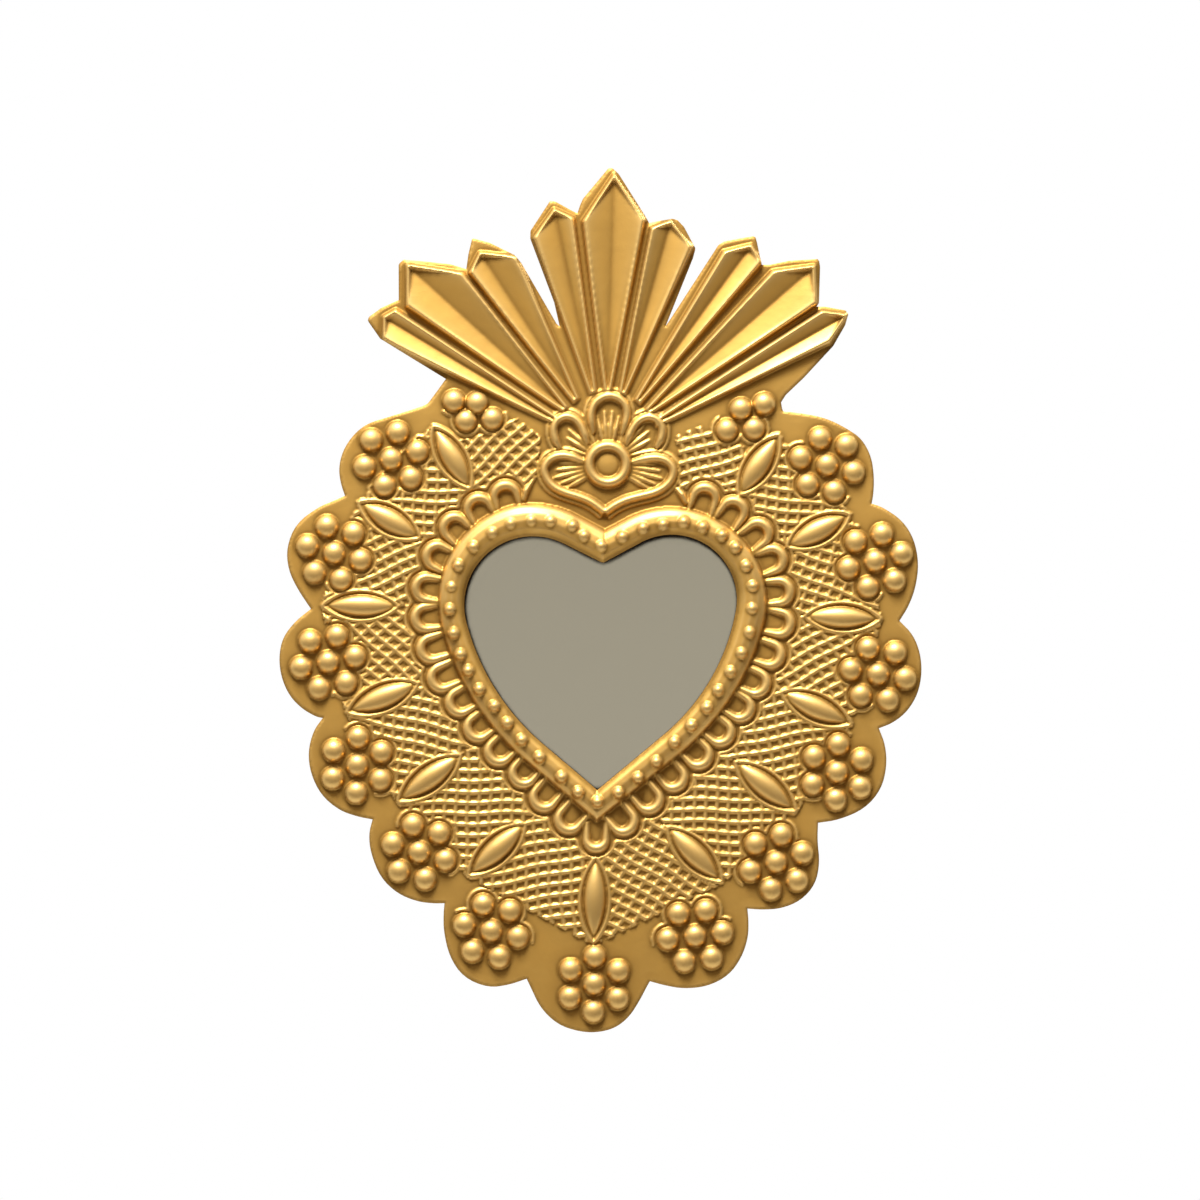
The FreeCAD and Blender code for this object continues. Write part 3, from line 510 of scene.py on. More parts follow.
def makeRayDie(ray):
    # A ray's two facets and its rounded rim; no primitive has this form, so it is laid out by its corners.
    tip, left, right, rootTurn = ray
    crest = [fanPoint(*tip), fanPoint(*left), fanPoint(rootTurn - fan["rootHalfTurn"], fan["root"]),
             fanPoint(rootTurn + fan["rootHalfTurn"], fan["root"]), fanPoint(*right)]
    heights = [fan[name] for name in ("crest", "crest", "rootCrest", "rootCrest", "crest")]
    foot = []
    for k in range(5):
        (x0, z0), (x1, z1), (x2, z2) = crest[k - 1], crest[k], crest[(k + 1) % 5]
        a, b = math.atan2(z1 - z0, x1 - x0), math.atan2(z2 - z1, x2 - x1)
        half = (b - a) / 2
        half = math.atan2(math.sin(half), math.cos(half)) if abs(half) < math.pi / 2 else half + math.pi
        reach = fan["rim"] / math.cos(half)
        foot.append((x1 + reach * math.sin(a + half), z1 - reach * math.cos(a + half)))
    headReach = tip[1] * fan["head"]
    headTurn = tip[0] + (rootTurn - tip[0]) * (tip[1] - headReach) / (tip[1] - fan["root"])
    points = [place(x, z, height) for (x, z), height in zip(crest, heights)]
    points += [place(x, z, -fan["sink"]) for x, z in foot]
    points.append(place(*fanPoint(headTurn, headReach), fan["headHeight"]))
    points.append(place(*fanPoint(rootTurn, fan["root"] / fan["head"]), fan["valley"]))
    faces = [(0, 1, 10), (0, 10, 4), (1, 2, 11, 10), (4, 10, 11, 3), (2, 3, 11)]
    faces += [(k, 5 + k, 5 + (k + 1) % 5, (k + 1) % 5) for k in range(5)]
    mesh = bpy.data.meshes.new("rayDie")
    mesh.from_pydata(points, [], faces)
    die = bpy.data.objects.new("rayDie", mesh)
    bpy.context.collection.objects.link(die)
    editOnly(die, "EDGE", [max(edge.vertices) < 5 for edge in mesh.edges])      # the crest's five edges
    bpy.ops.mesh.bevel(offset=fan["rounding"] * mm, segments=3, affect="EDGES")
    return leaveEdit()


moulding = {      # width from the window's edge by share of the run from cleft to tip, and the small beads
    "right": [(0, 11.5), (0.25, 10.8), (0.45, 12.6), (0.7, 10.8), (1, 9.8)],
    "left": [(0, 12), (0.2, 13.4), (0.45, 10.4), (1, 9.8)],
    "lip": 0.6, "steepness": 0.80, "runOn": 9, "beadRadius": 2.3, "beadTop": 6.7, "flatSink": 1.1,
    "beads": [
        (-0.8, 43.6), (-7.8, 47.4), (-12.5, 51.3), (-21.3, 53), (-29, 53), (-37.2, 51.6), (-44.5, 47.8),
        (-51.9, 42), (-57.7, 34.5), (-60.7, 16.8), (-58.9, 7.3), (-56, -1.1), (-52.7, -7.5), (-48.1, -14.8),
        (-41.9, -21.4), (-36.5, -28), (-30.7, -34.7), (-23.4, -41.4), (-14.4, -49.2), (-7.6, -55),
        (0.2, -58.6), (8.5, -54.8), (16.2, -48.7), (23.3, -42.1), (30.3, -34.1), (36.9, -27.3), (43, -20),
        (47.3, -12.9), (52, -5.4), (56.2, 2.2), (59.2, 10.6), (60, 20.1), (60, 29), (57.3, 37),
        (52.9, 44.3), (47.3, 49), (39.5, 52.1), (31.9, 54), (23.7, 52.7), (15.7, 51.1), (7.5, 47.4),
    ],
    "flatBeads": [(-60.2, 25.8)],
}


def makeMouldingDie(side):
    # Half of the moulding, cut at the centre line.
    stops, widths = zip(*moulding[side])
    lip = moulding["lip"]
    points = heartHalf(side, [(share, (width - lip) / 2) for share, width in moulding[side]])
    radii = (np.interp(runShares(points), stops, widths) + lip) / 2
    for end, inner in ((0, 1), (-1, -2)):      # run on over the centre line
        run = math.dist(points[inner], points[end])
        points[end] = beyond(points[inner], points[end], moulding["runOn"] / run)
    sign = 1 if side == "right" else -1
    line = [(x * sign, z, radius) for (x, z), radius in zip(points, radii)]
    ridgeDie("mouldingDie", [line], 1.0, moulding["steepness"])
    editAll()
    bpy.ops.mesh.bisect(plane_co=(0, 0, 0), plane_no=(sign, 0, 0), clear_inner=True)
    return leaveEdit()


def makeSmallBeadDies():
    radius = moulding["beadRadius"]
    top = place(0, 0, moulding["beadTop"] - radius)
    bpy.ops.mesh.primitive_uv_sphere_add(segments=24, ring_count=14, radius=radius * mm, location=top)
    settle()
    spots = [shift(x, z) for x, z in moulding["beads"]]
    spots += [shift(x, z, -moulding["flatSink"]) for x, z in moulding["flatBeads"]]
    return copiesOf(bpy.context.object, spots)


def ringDie(x, z, radius, width, height):
    bpy.ops.mesh.primitive_torus_add(major_radius=radius * mm, minor_radius=width * mm, major_segments=72,
                                     minor_segments=20, location=place(x, z), rotation=upright)
    settle()
    return flattened(height / width)


petalNames = ("topPetal", "upperLeft", "upperRight", "lowerLeft", "lowerRight")


def flowerOutline(out):
    # Line outside a petal's rim, moved away from the petal's middle.
    lines = []
    for name in petalNames:
        points = smoothLine(flower[name])
        mx, mz = (sum(p[k] for p in points) / len(points) for k in (0, 1))
        moved = []
        for k, (x, z) in enumerate(points):
            (x0, z0), (x1, z1) = points[max(k - 1, 0)], points[min(k + 1, len(points) - 1)]
            nx, nz = z1 - z0, x0 - x1
            size = math.hypot(nx, nz) or 1
            if nx * (x - mx) + nz * (z - mz) < 0:
                nx, nz = -nx, -nz
            moved.append((x + nx / size * out, z + nz / size * out))
        lines.append(moved)
    return lines


def makeFlowerDies():
    x, z = flower["middle"]
    rims, ribs = [], []
    for name in petalNames:
        line = smoothLine(flower[name])
        meets = name.startswith("lower")      # the lower petals meet at their last point, untapered
        widths = [min(1, 0.5 + 4 * share, 1 if meets else 4.5 - 4 * share) for share in runShares(line)]
        rims.append([(*point, width) for point, width in zip(line, widths)])
    for middle, count, gap, longest in flower["ribTurns"]:
        for k in range(count):
            aside = k - (count - 1) / 2
            turn, end = middle + aside * gap, longest - abs(aside) * flower["ribFall"]
            stops = (flower["ribStart"], 0.8), ((flower["ribStart"] + end) / 2, 1.0), (end, 0.4)
            ribs.append([(*onCircle(x, z, reach, turn), width) for reach, width in stops])
    contours = flowerOutline(flower["contourOut"])
    made = [ridgeDie("petal" + form.title(), lines, *flower[form])
            for form, lines in (("rim", rims), ("contour", contours), ("rib", ribs))]
    made.append(ringDie(x, z, *flower["ring"]))
    made += copiesOf(roundDie(*flower["floor"]), [shift(x, z)])
    made.append(ridgeDie("crescents", flower["crescents"], *flower["crescent"]))
    return made


def clusterContours():
    # The wavy line on the lattice side of each cluster, from leaf contour to leaf contour.
    rings = [leafContour(leaf, 0.2) for leaf in leaves]
    lines = []
    for cluster in clusters[:-1]:
        edge = clusterEdge(cluster, beadForm["contour"])
        xs, zs = np.array(edge).T
        keep = xs * cluster[0] + zs * cluster[1] < (cluster[0] ** 2 + cluster[1] ** 2) * 0.99
        for ring in rings:
            keep &= ~inPolygon(xs, zs, ring)
        start = int(np.argmin(keep))      # the line starts in its gap
        order = list(range(start, len(edge))) + list(range(start))
        lines.append([edge[k] for k in order if keep[k]])
    return lines


def neckContours():
    # The line under each four beads at the neck.
    turns = [math.radians(180 + k * 180 / 139) for k in range(140)]
    groups = [neckBeads[:4], neckBeads[4:]]
    middles = [(sum(x for x, _ in beads) / 4, sum(z for _, z in beads) / 4) for beads in groups]
    return [wavyEdge(beads, middle, beadForm["neckContour"], turns) for beads, middle in zip(groups, middles)]


def makeDies():
    # Everything that stands up, on a flat bed for the rest.
    bpy.ops.mesh.primitive_plane_add(size=0.6, location=(0, faceY, 0), rotation=upright)
    settle()
    made = [bpy.context.object]
    made += makeBeadDies() + makeLeafDies() + [makeRayDie(ray) for ray in rays]
    made += [makeMouldingDie("right"), makeMouldingDie("left")] + makeSmallBeadDies() + makeFlowerDies()
    made.append(ridgeDie("archDies", [archLine(f) for f in archFrames()], arches["ridge"], arches["height"]))
    made.append(ridgeDie("archContour", [archContour()], arches["contourRidge"], arches["contourHeight"]))
    contours = [leafContour(leaf) for leaf in leaves]
    made.append(ridgeDie("leafContours", contours, leafForm["ridge"], leafForm["ridgeHeight"], closed=True))
    made.append(ridgeDie("clusterContours", clusterContours() + neckContours(), *beadForm["line"]))
    return joinAll(made, "pressDies")


dies = makeDies()
print("dies ready:", len(dies.data.polygons), "faces")


# Lattice panels between the leaves: spacing, heights, and how far the ridges keep from other forms
lattice = {
    "pitch": 4.3, "weakPitch": 4.515, "ridge": 0.95, "height": 1.05, "crossHeight": 0.85, "wobble": 0.35,
    "wobbleTurn": 0.23, "seed": 0.61, "plain": 0.5, "margin": 0.3, "neckMargin": 6.2,
}
panelLines = [    # panel, turn of the strong lines, turn of the weak lines
    ("R0", 18, 108), ("R1", -5, 88), ("R2", -20, 72), ("R3", 30, 122), ("R4", 12, 100), ("R5", 0, 92),
    ("R6", -30, 60),
    ("L0", 45, 135), ("L1", 0, 90), ("L2", 25, 115), ("L3", -40, 40), ("L4", -12, 82), ("L5", 2, 90),
    ("L6", 12, 95),
]
neckPanels = {
    "L0": [(-60, 84), (-44, 88.5), (-38.5, 92.6), (-35.4, 93.6), (-26, 86.4), (-26.5, 80),
        (-27.5, 70), (-33, 60), (-54.2, 66.1), (-68, 88.1)],
    "R0": [(60, 84), (46, 86.5), (40.5, 92), (38, 92.4), (27.5, 88), (29.5, 80), (29, 70),
        (33, 60), (54.2, 66.1), (68, 88.1)],
}


def panelPolygons():
    # Each panel's sector between two leaves, as a polygon reaching from the heart to the beads.
    polygons = dict(neckPanels)
    for letter, axes in (("R", leaves[:6] + leaves[12:]), ("L", leaves[6:])):
        for k in range(1, 7):
            (a0, a1), (b0, b1) = axes[k - 1], axes[k]
            first = [beyond(a0, a1, 0.6), a1, a0, beyond(a1, a0, 0.1)]
            polygons[letter + str(k)] = first + [beyond(b1, b0, 0.1), b0, b1, beyond(b0, b1, 0.6)]
    return polygons


def latticeHeight(x, z, plain):
    # Height of the crossed ridges where the pressed tin is still plain.
    allowed = plain & ~inPolygon(x, z, archContour() + [(30.0, 58.0), (0.0, 52.0), (-30.0, 58.0)])
    for leaf in leaves:
        allowed &= ~inPolygon(x, z, leafContour(leaf, lattice["margin"]))
    for cluster in clusters:
        allowed &= ~inPolygon(x, z, clusterEdge(cluster, beadForm["contour"] + lattice["margin"], 90))
    for beadX, beadZ in neckBeads:
        allowed &= np.hypot(x - beadX, z - beadZ) > lattice["neckMargin"]
    height = np.zeros_like(x)
    polygons = panelPolygons()
    for name, strong, weak in panelLines:
        here = allowed & inPolygon(x, z, polygons[name])
        px, pz = x[here], z[here]
        level = np.zeros_like(px)
        seed = (ord(name[0]) * 7 + int(name[1])) * lattice["seed"]
        for turn, top, pitch in ((strong, lattice["height"], lattice["pitch"]),
                                 (weak, lattice["crossHeight"], lattice["weakPitch"])):
            across, along = math.sin(math.radians(turn)), math.cos(math.radians(turn))
            wobble = lattice["wobble"] * np.sin((px * along + pz * across) * lattice["wobbleTurn"] + seed)
            row = (pz * along - px * across + wobble) / pitch + seed
            away = np.abs(row - np.round(row)) * pitch
            level = np.maximum(level, top * np.sqrt(np.clip(1 - (away / lattice["ridge"]) ** 2, 0, 1)))
        height[here] = level
    return height


def blur(field, cells):
    # Box blur of a grid, twice each way.
    for _ in range(2):
        for axis in (0, 1):
            padded = np.pad(field, [(cells + 1, cells) if k == axis else (0, 0) for k in (0, 1)], mode="edge")
            total = np.cumsum(padded, axis=axis)
            high = np.take(total, range(2 * cells + 1, total.shape[axis]), axis=axis)
            low = np.take(total, range(0, total.shape[axis] - 2 * cells - 1), axis=axis)
            field = (high - low) / (2 * cells + 1)
    return field


def meshPoints(mesh):
    # Every vertex, in metres, and its x, z and height in millimetres.
    co = readAll(mesh.vertices, "co", 3, float)
    return co, co[:, 0] / mm, co[:, 2] / mm, (faceY - co[:, 1]) / mm


def movePoints(mesh, co):
    mesh.vertices.foreach_set("co", co.ravel())
    mesh.update()


def makeBlank():
    # Flat tin as a fine grid, cut to the outline and to the window.
    step = tin["grid"]
    columns, rows = int(2 * tin["half"] / step), int((tin["high"] - tin["low"]) / step)
    middle = (0, -0.03, (tin["low"] + tin["high"]) / 2 * mm)
    bpy.ops.mesh.primitive_grid_add(x_subdivisions=columns, y_subdivisions=rows, size=1, location=middle,
                                    rotation=upright)
    blank = bpy.context.object
    blank.name = "pressedTin"
    blank.scale = (columns * step * mm, rows * step * mm, 1)
    settle()
    _, x, z, _ = meshPoints(blank.data)
    editOnly(blank, "VERT", ~inPolygon(x, z, outline) | inPolygon(x, z, heartLoop(0)))
    bpy.ops.mesh.delete(type="VERT")
    bpy.ops.mesh.select_all(action="DESELECT")
    bpy.ops.mesh.select_non_manifold(extend=False, use_wire=False, use_boundary=True, use_multi_face=False,
                                     use_non_contiguous=False, use_verts=False)
    leaveEdit()
    edge = readAll(blank.data.vertices, "select", kind=bool)
    co, x, z, _ = meshPoints(blank.data)
    x, z, _ = nearestOn(x[edge], z[edge], [outline, heartLoop(0)])
    co[edge, 0], co[edge, 2] = x * mm, z * mm
    movePoints(blank.data, co)
    return blank


def pressTin(blank):
    # The grid is pressed on the dies from the front, then softened as tin is.
    pickOnly(blank)
    press = blank.modifiers.new("press", "SHRINKWRAP")
    press.target = dies
    press.wrap_method = "PROJECT"
    press.use_project_y = True
    press.use_positive_direction = True
    press.use_negative_direction = False
    bpy.ops.object.modifier_apply(modifier=press.name)
    soften = blank.modifiers.new("soften", "SMOOTH")
    soften.use_x = soften.use_z = False
    soften.factor = 0.5
    soften.iterations = tin["softening"]
    bpy.ops.object.modifier_apply(modifier=soften.name)


def chaseTin(blank):
    # Lattice, hand waves and the rolled edge.
    co, x, z, high = meshPoints(blank.data)
    high = np.maximum(high, latticeHeight(x, z, high < lattice["plain"]))
    _, _, away = nearestOn(x, z, [outline])
    roll = tin["edgeRoll"]
    rolled = np.clip(1 - away / roll, 0, 1)
    high = high - roll * 0.5 * (1 - np.sqrt(np.clip(1 - rolled ** 2, 0, 1)))
    (turnX, startX), (turnZ, startZ) = tin["waves"]
    slantX, slantZ, share = tin["slant"]
    wave = np.sin(x * turnX + startX) * np.sin(z * turnZ + startZ) + share * np.sin(x * slantX + z * slantZ)
    high = high + tin["unevenness"] * wave * np.clip(away / 4, 0, 1)
    co[:, 1] = faceY - high * mm
    movePoints(blank.data, co)
    return x, z, high


# Painted shade and painted highlight: how far below or above its surroundings a place is, in mm, for full
# painted shade or full painted highlight, and how much that counts: against what is near, then against what
# is broadly round it
shading = {"cells": (2, 7), "paintedShade": ((0.22, 0.6), (1.1, 0.6)), "paintedHighlight": ((0.18, 0.6), (1.2, 0.5))}


def shadeTin(blank, x, z, high):
    # Masks for the painted shade in the hollows and the painted highlight on the crests, and the sheet's
    # normals from before it is parted.
    step = tin["grid"]
    column = np.round((x + tin["half"] + 1) / step).astype(int)
    row = np.round((z - tin["low"] + 1) / step).astype(int)
    field = np.zeros((row.max() + 4, column.max() + 4))
    there = np.zeros_like(field)
    field[row, column], there[row, column] = high, 1
    around = [blur(field, cells) / np.maximum(blur(there, cells), 0.01) for cells in shading["cells"]]
    for name, sign in (("paintedShade", 1), ("paintedHighlight", -1)):
        values = sum(np.clip(sign * (level - field)[row, column] / full, 0, 1) * part
                     for level, (full, part) in zip(around, shading[name]))
        addLayer(blank.data, name, "FLOAT", "POINT", "value", np.clip(values, 0, 1).astype(np.float32))
    normals = readAll(blank.data.vertex_normals, "vector", 3)
    addLayer(blank.data, "wholeNormal", "FLOAT_VECTOR", "POINT", "vector", normals.ravel())


blank = makeBlank()
print("blank cut:", len(blank.data.polygons), "faces")
pressTin(blank)
bpy.data.objects.remove(dies)
shadeTin(blank, *chaseTin(blank))
print("tin pressed and chased")


# The pressed tin is kept as several pieces, parted along its creases and leaves
crownEdge = [(-110, 100), (-66, 108.2), (-24.5, 88.5), (-22.5, 94), (-17, 98), (-9.5, 97), (-8.8, 101),
        (-3, 106.3), (4, 106.5), (9.5, 103), (11.5, 98.5), (17, 99), (23, 97.4), (26, 91), (64, 109.5),
        (69.7, 102.8), (110, 102), (110, 210), (-110, 210)]


def leftOfLeaf(leaf, x, z):
    # Which places lie on the left of a leaf's line, looking outwards.
    (x0, z0), (x1, z1) = leaf
    return (x0 - x1) * (z - z1) - (z0 - z1) * (x - x1) > 0


partNames = ["tinNeck", "tinUpperRight", "tinLowerRight", "tinUpperLeft", "tinLowerLeft", "tinBottom",
             "tinCrownLeft", "tinCrownRight", "tinMoulding"]


def partNumbers(x, z, middleLeafZ=17.4, fanLean=0.009, mouldingEdge=12.3):
    # Number in partNames of each place on the tin; the fan's two halves meet on a line that leans a little.
    part = np.zeros(len(x), int)
    upper = z > middleLeafZ
    for side, first in ((1, 1), (-1, 3)):
        mine = x * side >= 0
        neck, bottom = leftOfLeaf(leaves[0], x * side, z), ~leftOfLeaf(leaves[5], x * side, z)
        part[mine & ~neck & upper] = first
        part[mine & ~bottom & ~upper] = first + 1
        part[mine & bottom & ~upper] = 5
    crown = inPolygon(x, z, crownEdge)
    onLeft = x < (z - fan["z"]) * fanLean
    part[crown & onLeft] = 6
    part[crown & ~onLeft] = 7
    part[inPolygon(x, z, heartLoop(mouldingEdge))] = 8
    return part


def partTin(blank):
    pieces = []
    for number in range(len(partNames) - 1, 0, -1):
        centres = readAll(blank.data.polygons, "center", 3, float) / mm
        editOnly(blank, "FACE", partNumbers(centres[:, 0], centres[:, 2]) == number)
        bpy.ops.mesh.separate(type="SELECTED")
        leaveEdit()
        piece = [o for o in bpy.context.selected_objects if o is not blank][0]
        piece.name = piece.data.name = partNames[number]
        pieces.append(piece)
    blank.name = blank.data.name = partNames[0]
    return pieces + [blank]


def thickenTin(piece, front, back):
    # Back skin one tin thickness behind the front, with the whole sheet's own normals on both.
    pickOnly(piece)
    mesh = piece.data
    mesh.materials.clear()
    for side in (front, back):
        mesh.materials.append(side)
    bpy.ops.object.mode_set(mode="EDIT")
    bpy.ops.mesh.select_mode(type="FACE")
    bpy.ops.mesh.select_all(action="SELECT")
    bpy.ops.mesh.extrude_region_move(TRANSFORM_OT_translate={"value": (0, tin["thickness"] * mm, 0)})
    piece.active_material_index = 1
    bpy.ops.object.material_slot_assign()
    bpy.ops.mesh.select_all(action="SELECT")
    bpy.ops.mesh.normals_make_consistent(inside=False)
    leaveEdit()
    bpy.ops.object.shade_smooth()
    mesh = piece.data
    faceOf = np.repeat(np.arange(len(mesh.polygons)), readAll(mesh.polygons, "loop_total", kind=int))
    flat = readAll(mesh.polygons, "normal", 3)[faceOf]
    vertexOf = readAll(mesh.loops, "vertex_index", kind=int)
    whole = readAll(mesh.attributes["wholeNormal"].data, "vector", 3)[vertexOf]
    wall = np.abs(flat[:, 1]) < 0.001
    wanted = np.where(wall[:, None], flat, whole * np.sign((whole * flat).sum(1))[:, None])
    sharp = np.zeros(len(mesh.edges), bool)
    sharp[readAll(mesh.loops, "edge_index", kind=int)[wall]] = True
    mesh.attributes.remove(mesh.attributes["wholeNormal"])
    addLayer(mesh, "custom_normal", "FLOAT_VECTOR", "CORNER", "vector", wanted.astype(np.float32).ravel())
    addLayer(mesh, "sharp_edge", "BOOLEAN", "EDGE", "value", sharp)
    mesh.update()


# Materials
def addNodes(tree, *kinds):
    return [tree.nodes.new("ShaderNode" + kind) for kind in kinds]


def setInputs(node, values):
    for name, value in values.items():
        node.inputs[name].default_value = value


def wireUp(tree, *links):
    # Each link is a node, its output, the node it goes to and the input there.
    for source, output, target, put in links:
        tree.links.new(source.outputs[output], target.inputs[put])


def newMaterial(name):
    material = bpy.data.materials.new(name)
    material.use_nodes = True
    tree = material.node_tree
    tree.nodes.clear()
    out, shader = addNodes(tree, "OutputMaterial", "BsdfPrincipled")
    wireUp(tree, (shader, "BSDF", out, "Surface"))
    return material, tree, shader


wear = {
    "patchDetail": 6, "patchRange": (0.35, 0.68), "grain": (2600, 3), "dents": (140, 2),      # scale, detail
    "dentShare": 5, "depth": 0.0001,
}


def makeMottle():
    # Group for every worn metal: patches of two colours and roughness, and fine grain as height.
    group = bpy.data.node_groups.new("mottledMetal", "ShaderNodeTree")
    for side, sockets in (("INPUT", ("Base", "Patch", "Scale", "Amount", "Rough Low", "Rough High")),
                          ("OUTPUT", ("Colour", "Roughness", "Grain"))):
        for name in sockets:
            kind = "NodeSocketColor" if name in ("Base", "Patch", "Colour") else "NodeSocketFloat"
            group.interface.new_socket(name, in_out=side, socket_type=kind)
    given, put = group.nodes.new("NodeGroupInput"), group.nodes.new("NodeGroupOutput")
    where, patches, grain, dents = addNodes(group, "TexCoord", "TexNoise", "TexNoise", "TexNoise")
    spread, rough, part, relief, mix = addNodes(group, "MapRange", "MapRange", "Math", "Math", "Mix")
    part.operation, relief.operation, mix.data_type = "MULTIPLY", "MULTIPLY_ADD", "RGBA"
    setInputs(patches, {"Detail": wear["patchDetail"]})
    setInputs(grain, dict(zip(("Scale", "Detail"), wear["grain"])))
    setInputs(dents, dict(zip(("Scale", "Detail"), wear["dents"])))
    setInputs(spread, dict(zip(("From Min", "From Max"), wear["patchRange"])))
    setInputs(relief, {1: wear["dentShare"]})
    wireUp(group, *((where, "Object", noise, "Vector") for noise in (patches, grain, dents)))
    wireUp(group, (given, "Scale", patches, "Scale"), (patches, "Fac", spread, "Value"),
           (spread, "Result", part, 0), (given, "Amount", part, 1), (part, 0, mix, "Factor"),
           (given, "Base", mix, "A"), (given, "Patch", mix, "B"), (mix, "Result", put, "Colour"),
           (spread, "Result", rough, "Value"), (given, "Rough Low", rough, "To Min"),
           (given, "Rough High", rough, "To Max"), (rough, "Result", put, "Roughness"),
           (dents, "Fac", relief, 0), (grain, "Fac", relief, 2), (relief, 0, put, "Grain"))
    return group


mottle = makeMottle()


def metal(name, values):
    # A worn metal from the shared group; grain bumps it.
    material, tree, shader = newMaterial(name)
    spread, bump = addNodes(tree, "Group", "Bump")
    spread.node_tree = mottle
    low, high = values["rough"]
    setInputs(spread, {"Base": (*values["base"], 1), "Patch": (*values["patch"], 1), "Scale": values["scale"],
                       "Amount": values["amount"], "Rough Low": low, "Rough High": high})
    setInputs(bump, {"Strength": values["bump"], "Distance": wear["depth"]})
    shader.inputs["Metallic"].default_value = values.get("metallic", 1.0)
    wireUp(tree, (spread, "Grain", bump, "Height"), (bump, "Normal", shader, "Normal"),
           (spread, "Colour", shader, "Base Color"), (spread, "Roughness", shader, "Roughness"))
    return material, tree, shader, spread


goldPaint = {
    "base": (0.62, 0.362, 0.086), "patch": (0.51, 0.285, 0.058), "scale": 45, "amount": 0.7,
    "rough": (0.42, 0.52), "bump": 0.25, "metallic": 0.7, "specular": (1, 0.88, 0.62),
    # the hollow colour is painted shade for the recesses, the proud colour a painted highlight for the crests
    "paintedShade": (0.24, 0.12, 0.020), "paintedShadeMost": 0.75, "paintedHighlight": (0.92, 0.70, 0.32), "paintedHighlightMost": 0.28,
}


def makeGold():
    # Satin gold paint, with painted shade darkening the hollows and painted highlight paling the crests.
    material, tree, shader, spread = metal("goldPaint", goldPaint)
    colour = spread.outputs["Colour"]
    # painted shade in the hollows, then painted highlight on the crests, laid over the paint colour
    for name in ("paintedShade", "paintedHighlight"):
        layer, amount, mix = addNodes(tree, "Attribute", "Math", "Mix")
        layer.attribute_name, amount.operation, mix.data_type = name, "MULTIPLY", "RGBA"
        amount.inputs[1].default_value = goldPaint[name + "Most"]
        mix.inputs["B"].default_value = (*goldPaint[name], 1)
        wireUp(tree, (layer, "Fac", amount, 0), (amount, 0, mix, "Factor"))
        tree.links.new(colour, mix.inputs["A"])
        colour = mix.outputs["Result"]
    tree.links.new(colour, shader.inputs["Base Color"])
    shader.inputs["Specular Tint"].default_value = (*goldPaint["specular"], 1)
    return material


bareTinValues = {
    "base": (0.56, 0.55, 0.53), "patch": (0.36, 0.335, 0.30), "scale": 60, "amount": 0.8,
    "rough": (0.26, 0.42), "bump": 0.2,
}
gold = makeGold()
bareTin = metal("bareTin", bareTinValues)[0]
tinPieces = partTin(blank)
for piece in tinPieces:
    thickenTin(piece, gold, bareTin)
    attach(piece, "frame")
    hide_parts("embossed_front")
print("tin parted:", ", ".join(piece.name + " " + str(len(piece.data.polygons) * 2) for piece in tinPieces))


# Mirror glass: silvered, a little dusty, dark where the frame's lip shades its edge
mirror = {
    "lean": (-0.2, -0.87, 0.45),      # where the glass looks for the lip: a little towards the upper left
    "reach": 0.012, "open": (0.64, 0.74), "dark": (0.02, 0.015, 0.012, 1), "silver": (0.86, 0.865, 0.85, 1),
    "dustScale": 30, "dustDetail": 8, "rough": (0.02, 0.06),
}


def makeMirror():
    material, tree, shader = newMaterial("silveredGlass")
    shader.inputs["Metallic"].default_value = 1
    lean, edge, shade, tint = addNodes(tree, "CombineXYZ", "AmbientOcclusion", "MapRange", "Mix")
    where, dust, rough = addNodes(tree, "TexCoord", "TexNoise", "MapRange")
    tint.data_type = "RGBA"
    setInputs(lean, dict(zip("XYZ", mirror["lean"])))
    setInputs(edge, {"Distance": mirror["reach"]})
    setInputs(shade, dict(zip(("From Min", "From Max"), mirror["open"])))
    setInputs(tint, {"A": mirror["dark"], "B": mirror["silver"]})
    setInputs(dust, {"Scale": mirror["dustScale"], "Detail": mirror["dustDetail"]})
    setInputs(rough, dict(zip(("To Min", "To Max"), mirror["rough"])))
    wireUp(tree, (lean, "Vector", edge, "Normal"), (edge, "AO", shade, "Value"),
          (shade, "Result", tint, "Factor"),
           (tint, "Result", shader, "Base Color"), (where, "Object", dust, "Vector"),
           (dust, "Fac", rough, "Value"),
           (rough, "Result", shader, "Roughness"))
    return material


def setMaterial(node, material):
    nodes[node].data.materials.clear()
    nodes[node].data.materials.append(material)


cardValues = {
    "base": (0.42, 0.30, 0.18), "patch": (0.33, 0.22, 0.12), "scale": 150, "amount": 0.9,
    "rough": (0.85, 0.95), "bump": 0.6, "metallic": 0,
}
solderValues = {
    "base": (0.50, 0.50, 0.50), "patch": (0.30, 0.29, 0.28), "scale": 400, "amount": 0.9,
    "rough": (0.3, 0.55), "bump": 0.5,
}
wireValues = {
    "base": (0.55, 0.55, 0.55), "patch": (0.40, 0.38, 0.36), "scale": 300, "amount": 0.6,
    "rough": (0.22, 0.4), "bump": 0.1,
}
card = metal("brownCard", cardValues)[0]
solder = metal("softSolder", solderValues)[0]
wire = metal("steelWire", wireValues)[0]
setMaterial("mirror_glass", makeMirror())
setMaterial("backing_card", card)
for node in ["back_plate", "hanger_strap"] + ["retaining_tab_%d" % n for n in range(1, 9)]:
    setMaterial(node, bareTin)
for node in ("tab_solder", "hanger_solder"):
    setMaterial(node, solder)
setMaterial("hanging_ring", wire)


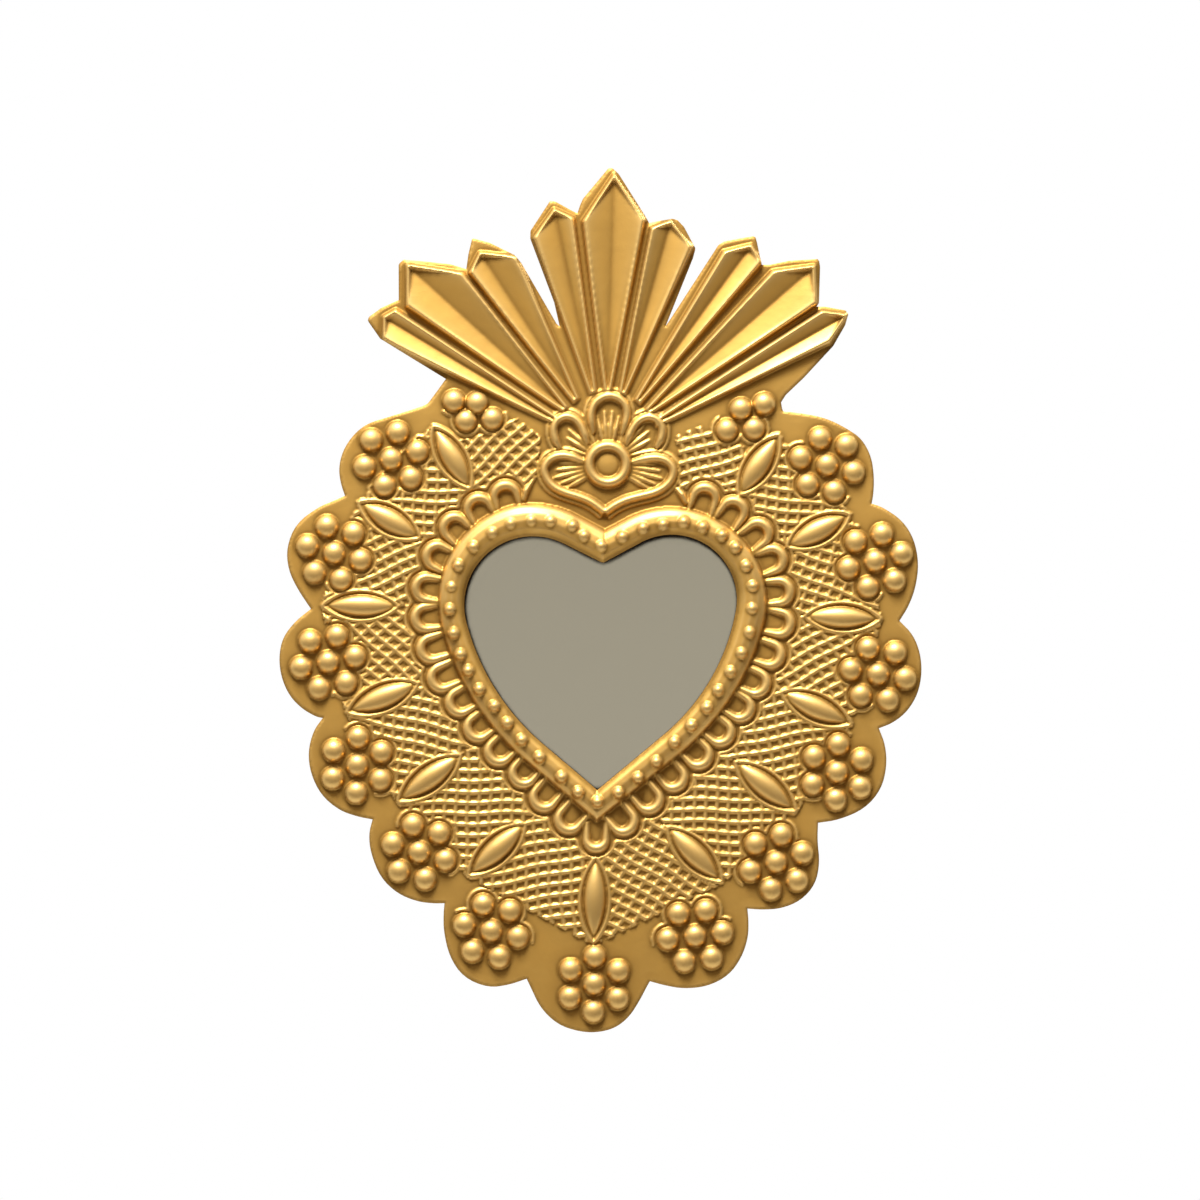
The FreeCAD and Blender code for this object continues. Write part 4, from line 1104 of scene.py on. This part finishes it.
# Light: pale room, soft key from above, a softer lamp for the back
room = {
    "aim": (0, 0, 0.02), "seen": (1, 1, 1, 1), "light": (1, 0.99, 0.97, 1), "strength": 0.15,
    "lamps": [        # name, place, size, power
        ("keyLight", (-0.22, -0.75, 1.35), 0.5, 62), ("backLight", (0.9, 1.5, 1.2), 0.6, 22),
    ],
    "cards": [        # name, place, size, colour, glow
        ("backCard", (-1.1, 1.5, -0.1), (1.4, 1.8), (0.06, 0.055, 0.05), 0),
        ("mirrorCard", (0, -2.9, 0.02), (1.5, 1.5), (0.43, 0.39, 0.30), 0.57),
        ("warmCard", (0, -3, 0.02), (4.2, 3.2), (0.36, 0.21, 0.07), 0.45),
        ("rightCard", (1.5, -0.9, -0.1), (1.8, 2), (0.06, 0.04, 0.02), 0),
        ("leftCard", (-1.5, -0.9, -0.5), (1.8, 1.4), (0.09, 0.06, 0.03), 0),
        ("lowCard", (0, -0.95, -0.62), (2.8, 1.1), (0.06, 0.03, 0.008), 0),
    ],
}


def seenShare(tree):
    # 1 for what the camera, a gloss or a clear glass sees, 0 for what lights the object.
    path, first, both = addNodes(tree, "LightPath", "Math", "Math")
    first.operation = both.operation = "MAXIMUM"
    wireUp(tree, (path, "Is Camera Ray", first, 0), (path, "Is Glossy Ray", first, 1),
           (first, 0, both, 0), (path, "Is Transmission Ray", both, 1))
    return both


def makeWorld():
    world = bpy.data.worlds.new("paleRoom")
    bpy.context.scene.world = world
    world.use_nodes = True
    tree = world.node_tree
    tree.nodes.clear()
    out, seen, light, mix = addNodes(tree, "OutputWorld", "Background", "Background", "MixShader")
    setInputs(seen, {"Color": room["seen"]})
    setInputs(light, {"Color": room["light"], "Strength": room["strength"]})
    wireUp(tree, (seenShare(tree), 0, mix, "Fac"), (light, 0, mix, 1), (seen, 0, mix, 2),
           (mix, 0, out, "Surface"))


def facing(thing, name, axis):
    thing.name = name
    thing.rotation_euler = (Vector(room["aim"]) - thing.location).to_track_quat(axis, "Y").to_euler()
    return thing


def areaLight(name, spot, size, power):
    bpy.ops.object.light_add(type="AREA", location=spot)
    lamp = facing(bpy.context.object, name, "-Z")
    lamp.data.size, lamp.data.energy = size, power


def roomCard(name, spot, size, colour, glow):
    # Board out of the camera's sight, for the metal and the mirror to show.
    bpy.ops.mesh.primitive_plane_add(size=1, location=spot)
    board = facing(bpy.context.object, name, "Z")
    board.scale = (*size, 1)
    material, tree, shader = newMaterial(name)
    setInputs(shader, {"Base Color": (*colour, 1), "Roughness": 1,
                       "Emission Color": (*colour, 1), "Emission Strength": glow})
    board.data.materials.append(material)
    board.visible_camera = board.visible_shadow = False


makeWorld()
for lamp in room["lamps"]:
    areaLight(*lamp)
for values in room["cards"]:
    roomCard(*values)

floorForm = {
    "size": 5, "height": -0.9, "colour": (0.62, 0.62, 0.61, 1), "rough": 0.9, "near": 1.0, "far": 2.3,
    "glow": (1, 1, 1, 1), "glowNear": 0.68, "glowFar": 0.95,
}


def makeFloor():
    # Pale floor that keeps the object's shadow and melts into the white room at its edge.
    bpy.ops.mesh.primitive_plane_add(size=floorForm["size"], location=(0, 0, floorForm["height"]))
    floor = bpy.context.object
    floor.name = "floor"
    material, tree, shader = newMaterial("floorPaint")
    setInputs(shader, {"Base Color": floorForm["colour"], "Roughness": floorForm["rough"],
                       "Emission Color": floorForm["glow"]})
    spot, reach, fade, glow = addNodes(tree, "TexCoord", "VectorMath", "MapRange", "Math")
    reach.operation, glow.operation = "LENGTH", "MULTIPLY"
    setInputs(fade, {"From Min": floorForm["near"], "From Max": floorForm["far"],
                     "To Min": floorForm["glowNear"], "To Max": floorForm["glowFar"]})
    wireUp(tree, (spot, "Object", reach, 0), (reach, "Value", fade, "Value"), (fade, "Result", glow, 0),
           (seenShare(tree), 0, glow, 1), (glow, 0, shader, "Emission Strength"))
    floor.data.materials.append(material)


makeFloor()
bpy.context.scene.view_settings.view_transform = "Standard"
print("light ready")
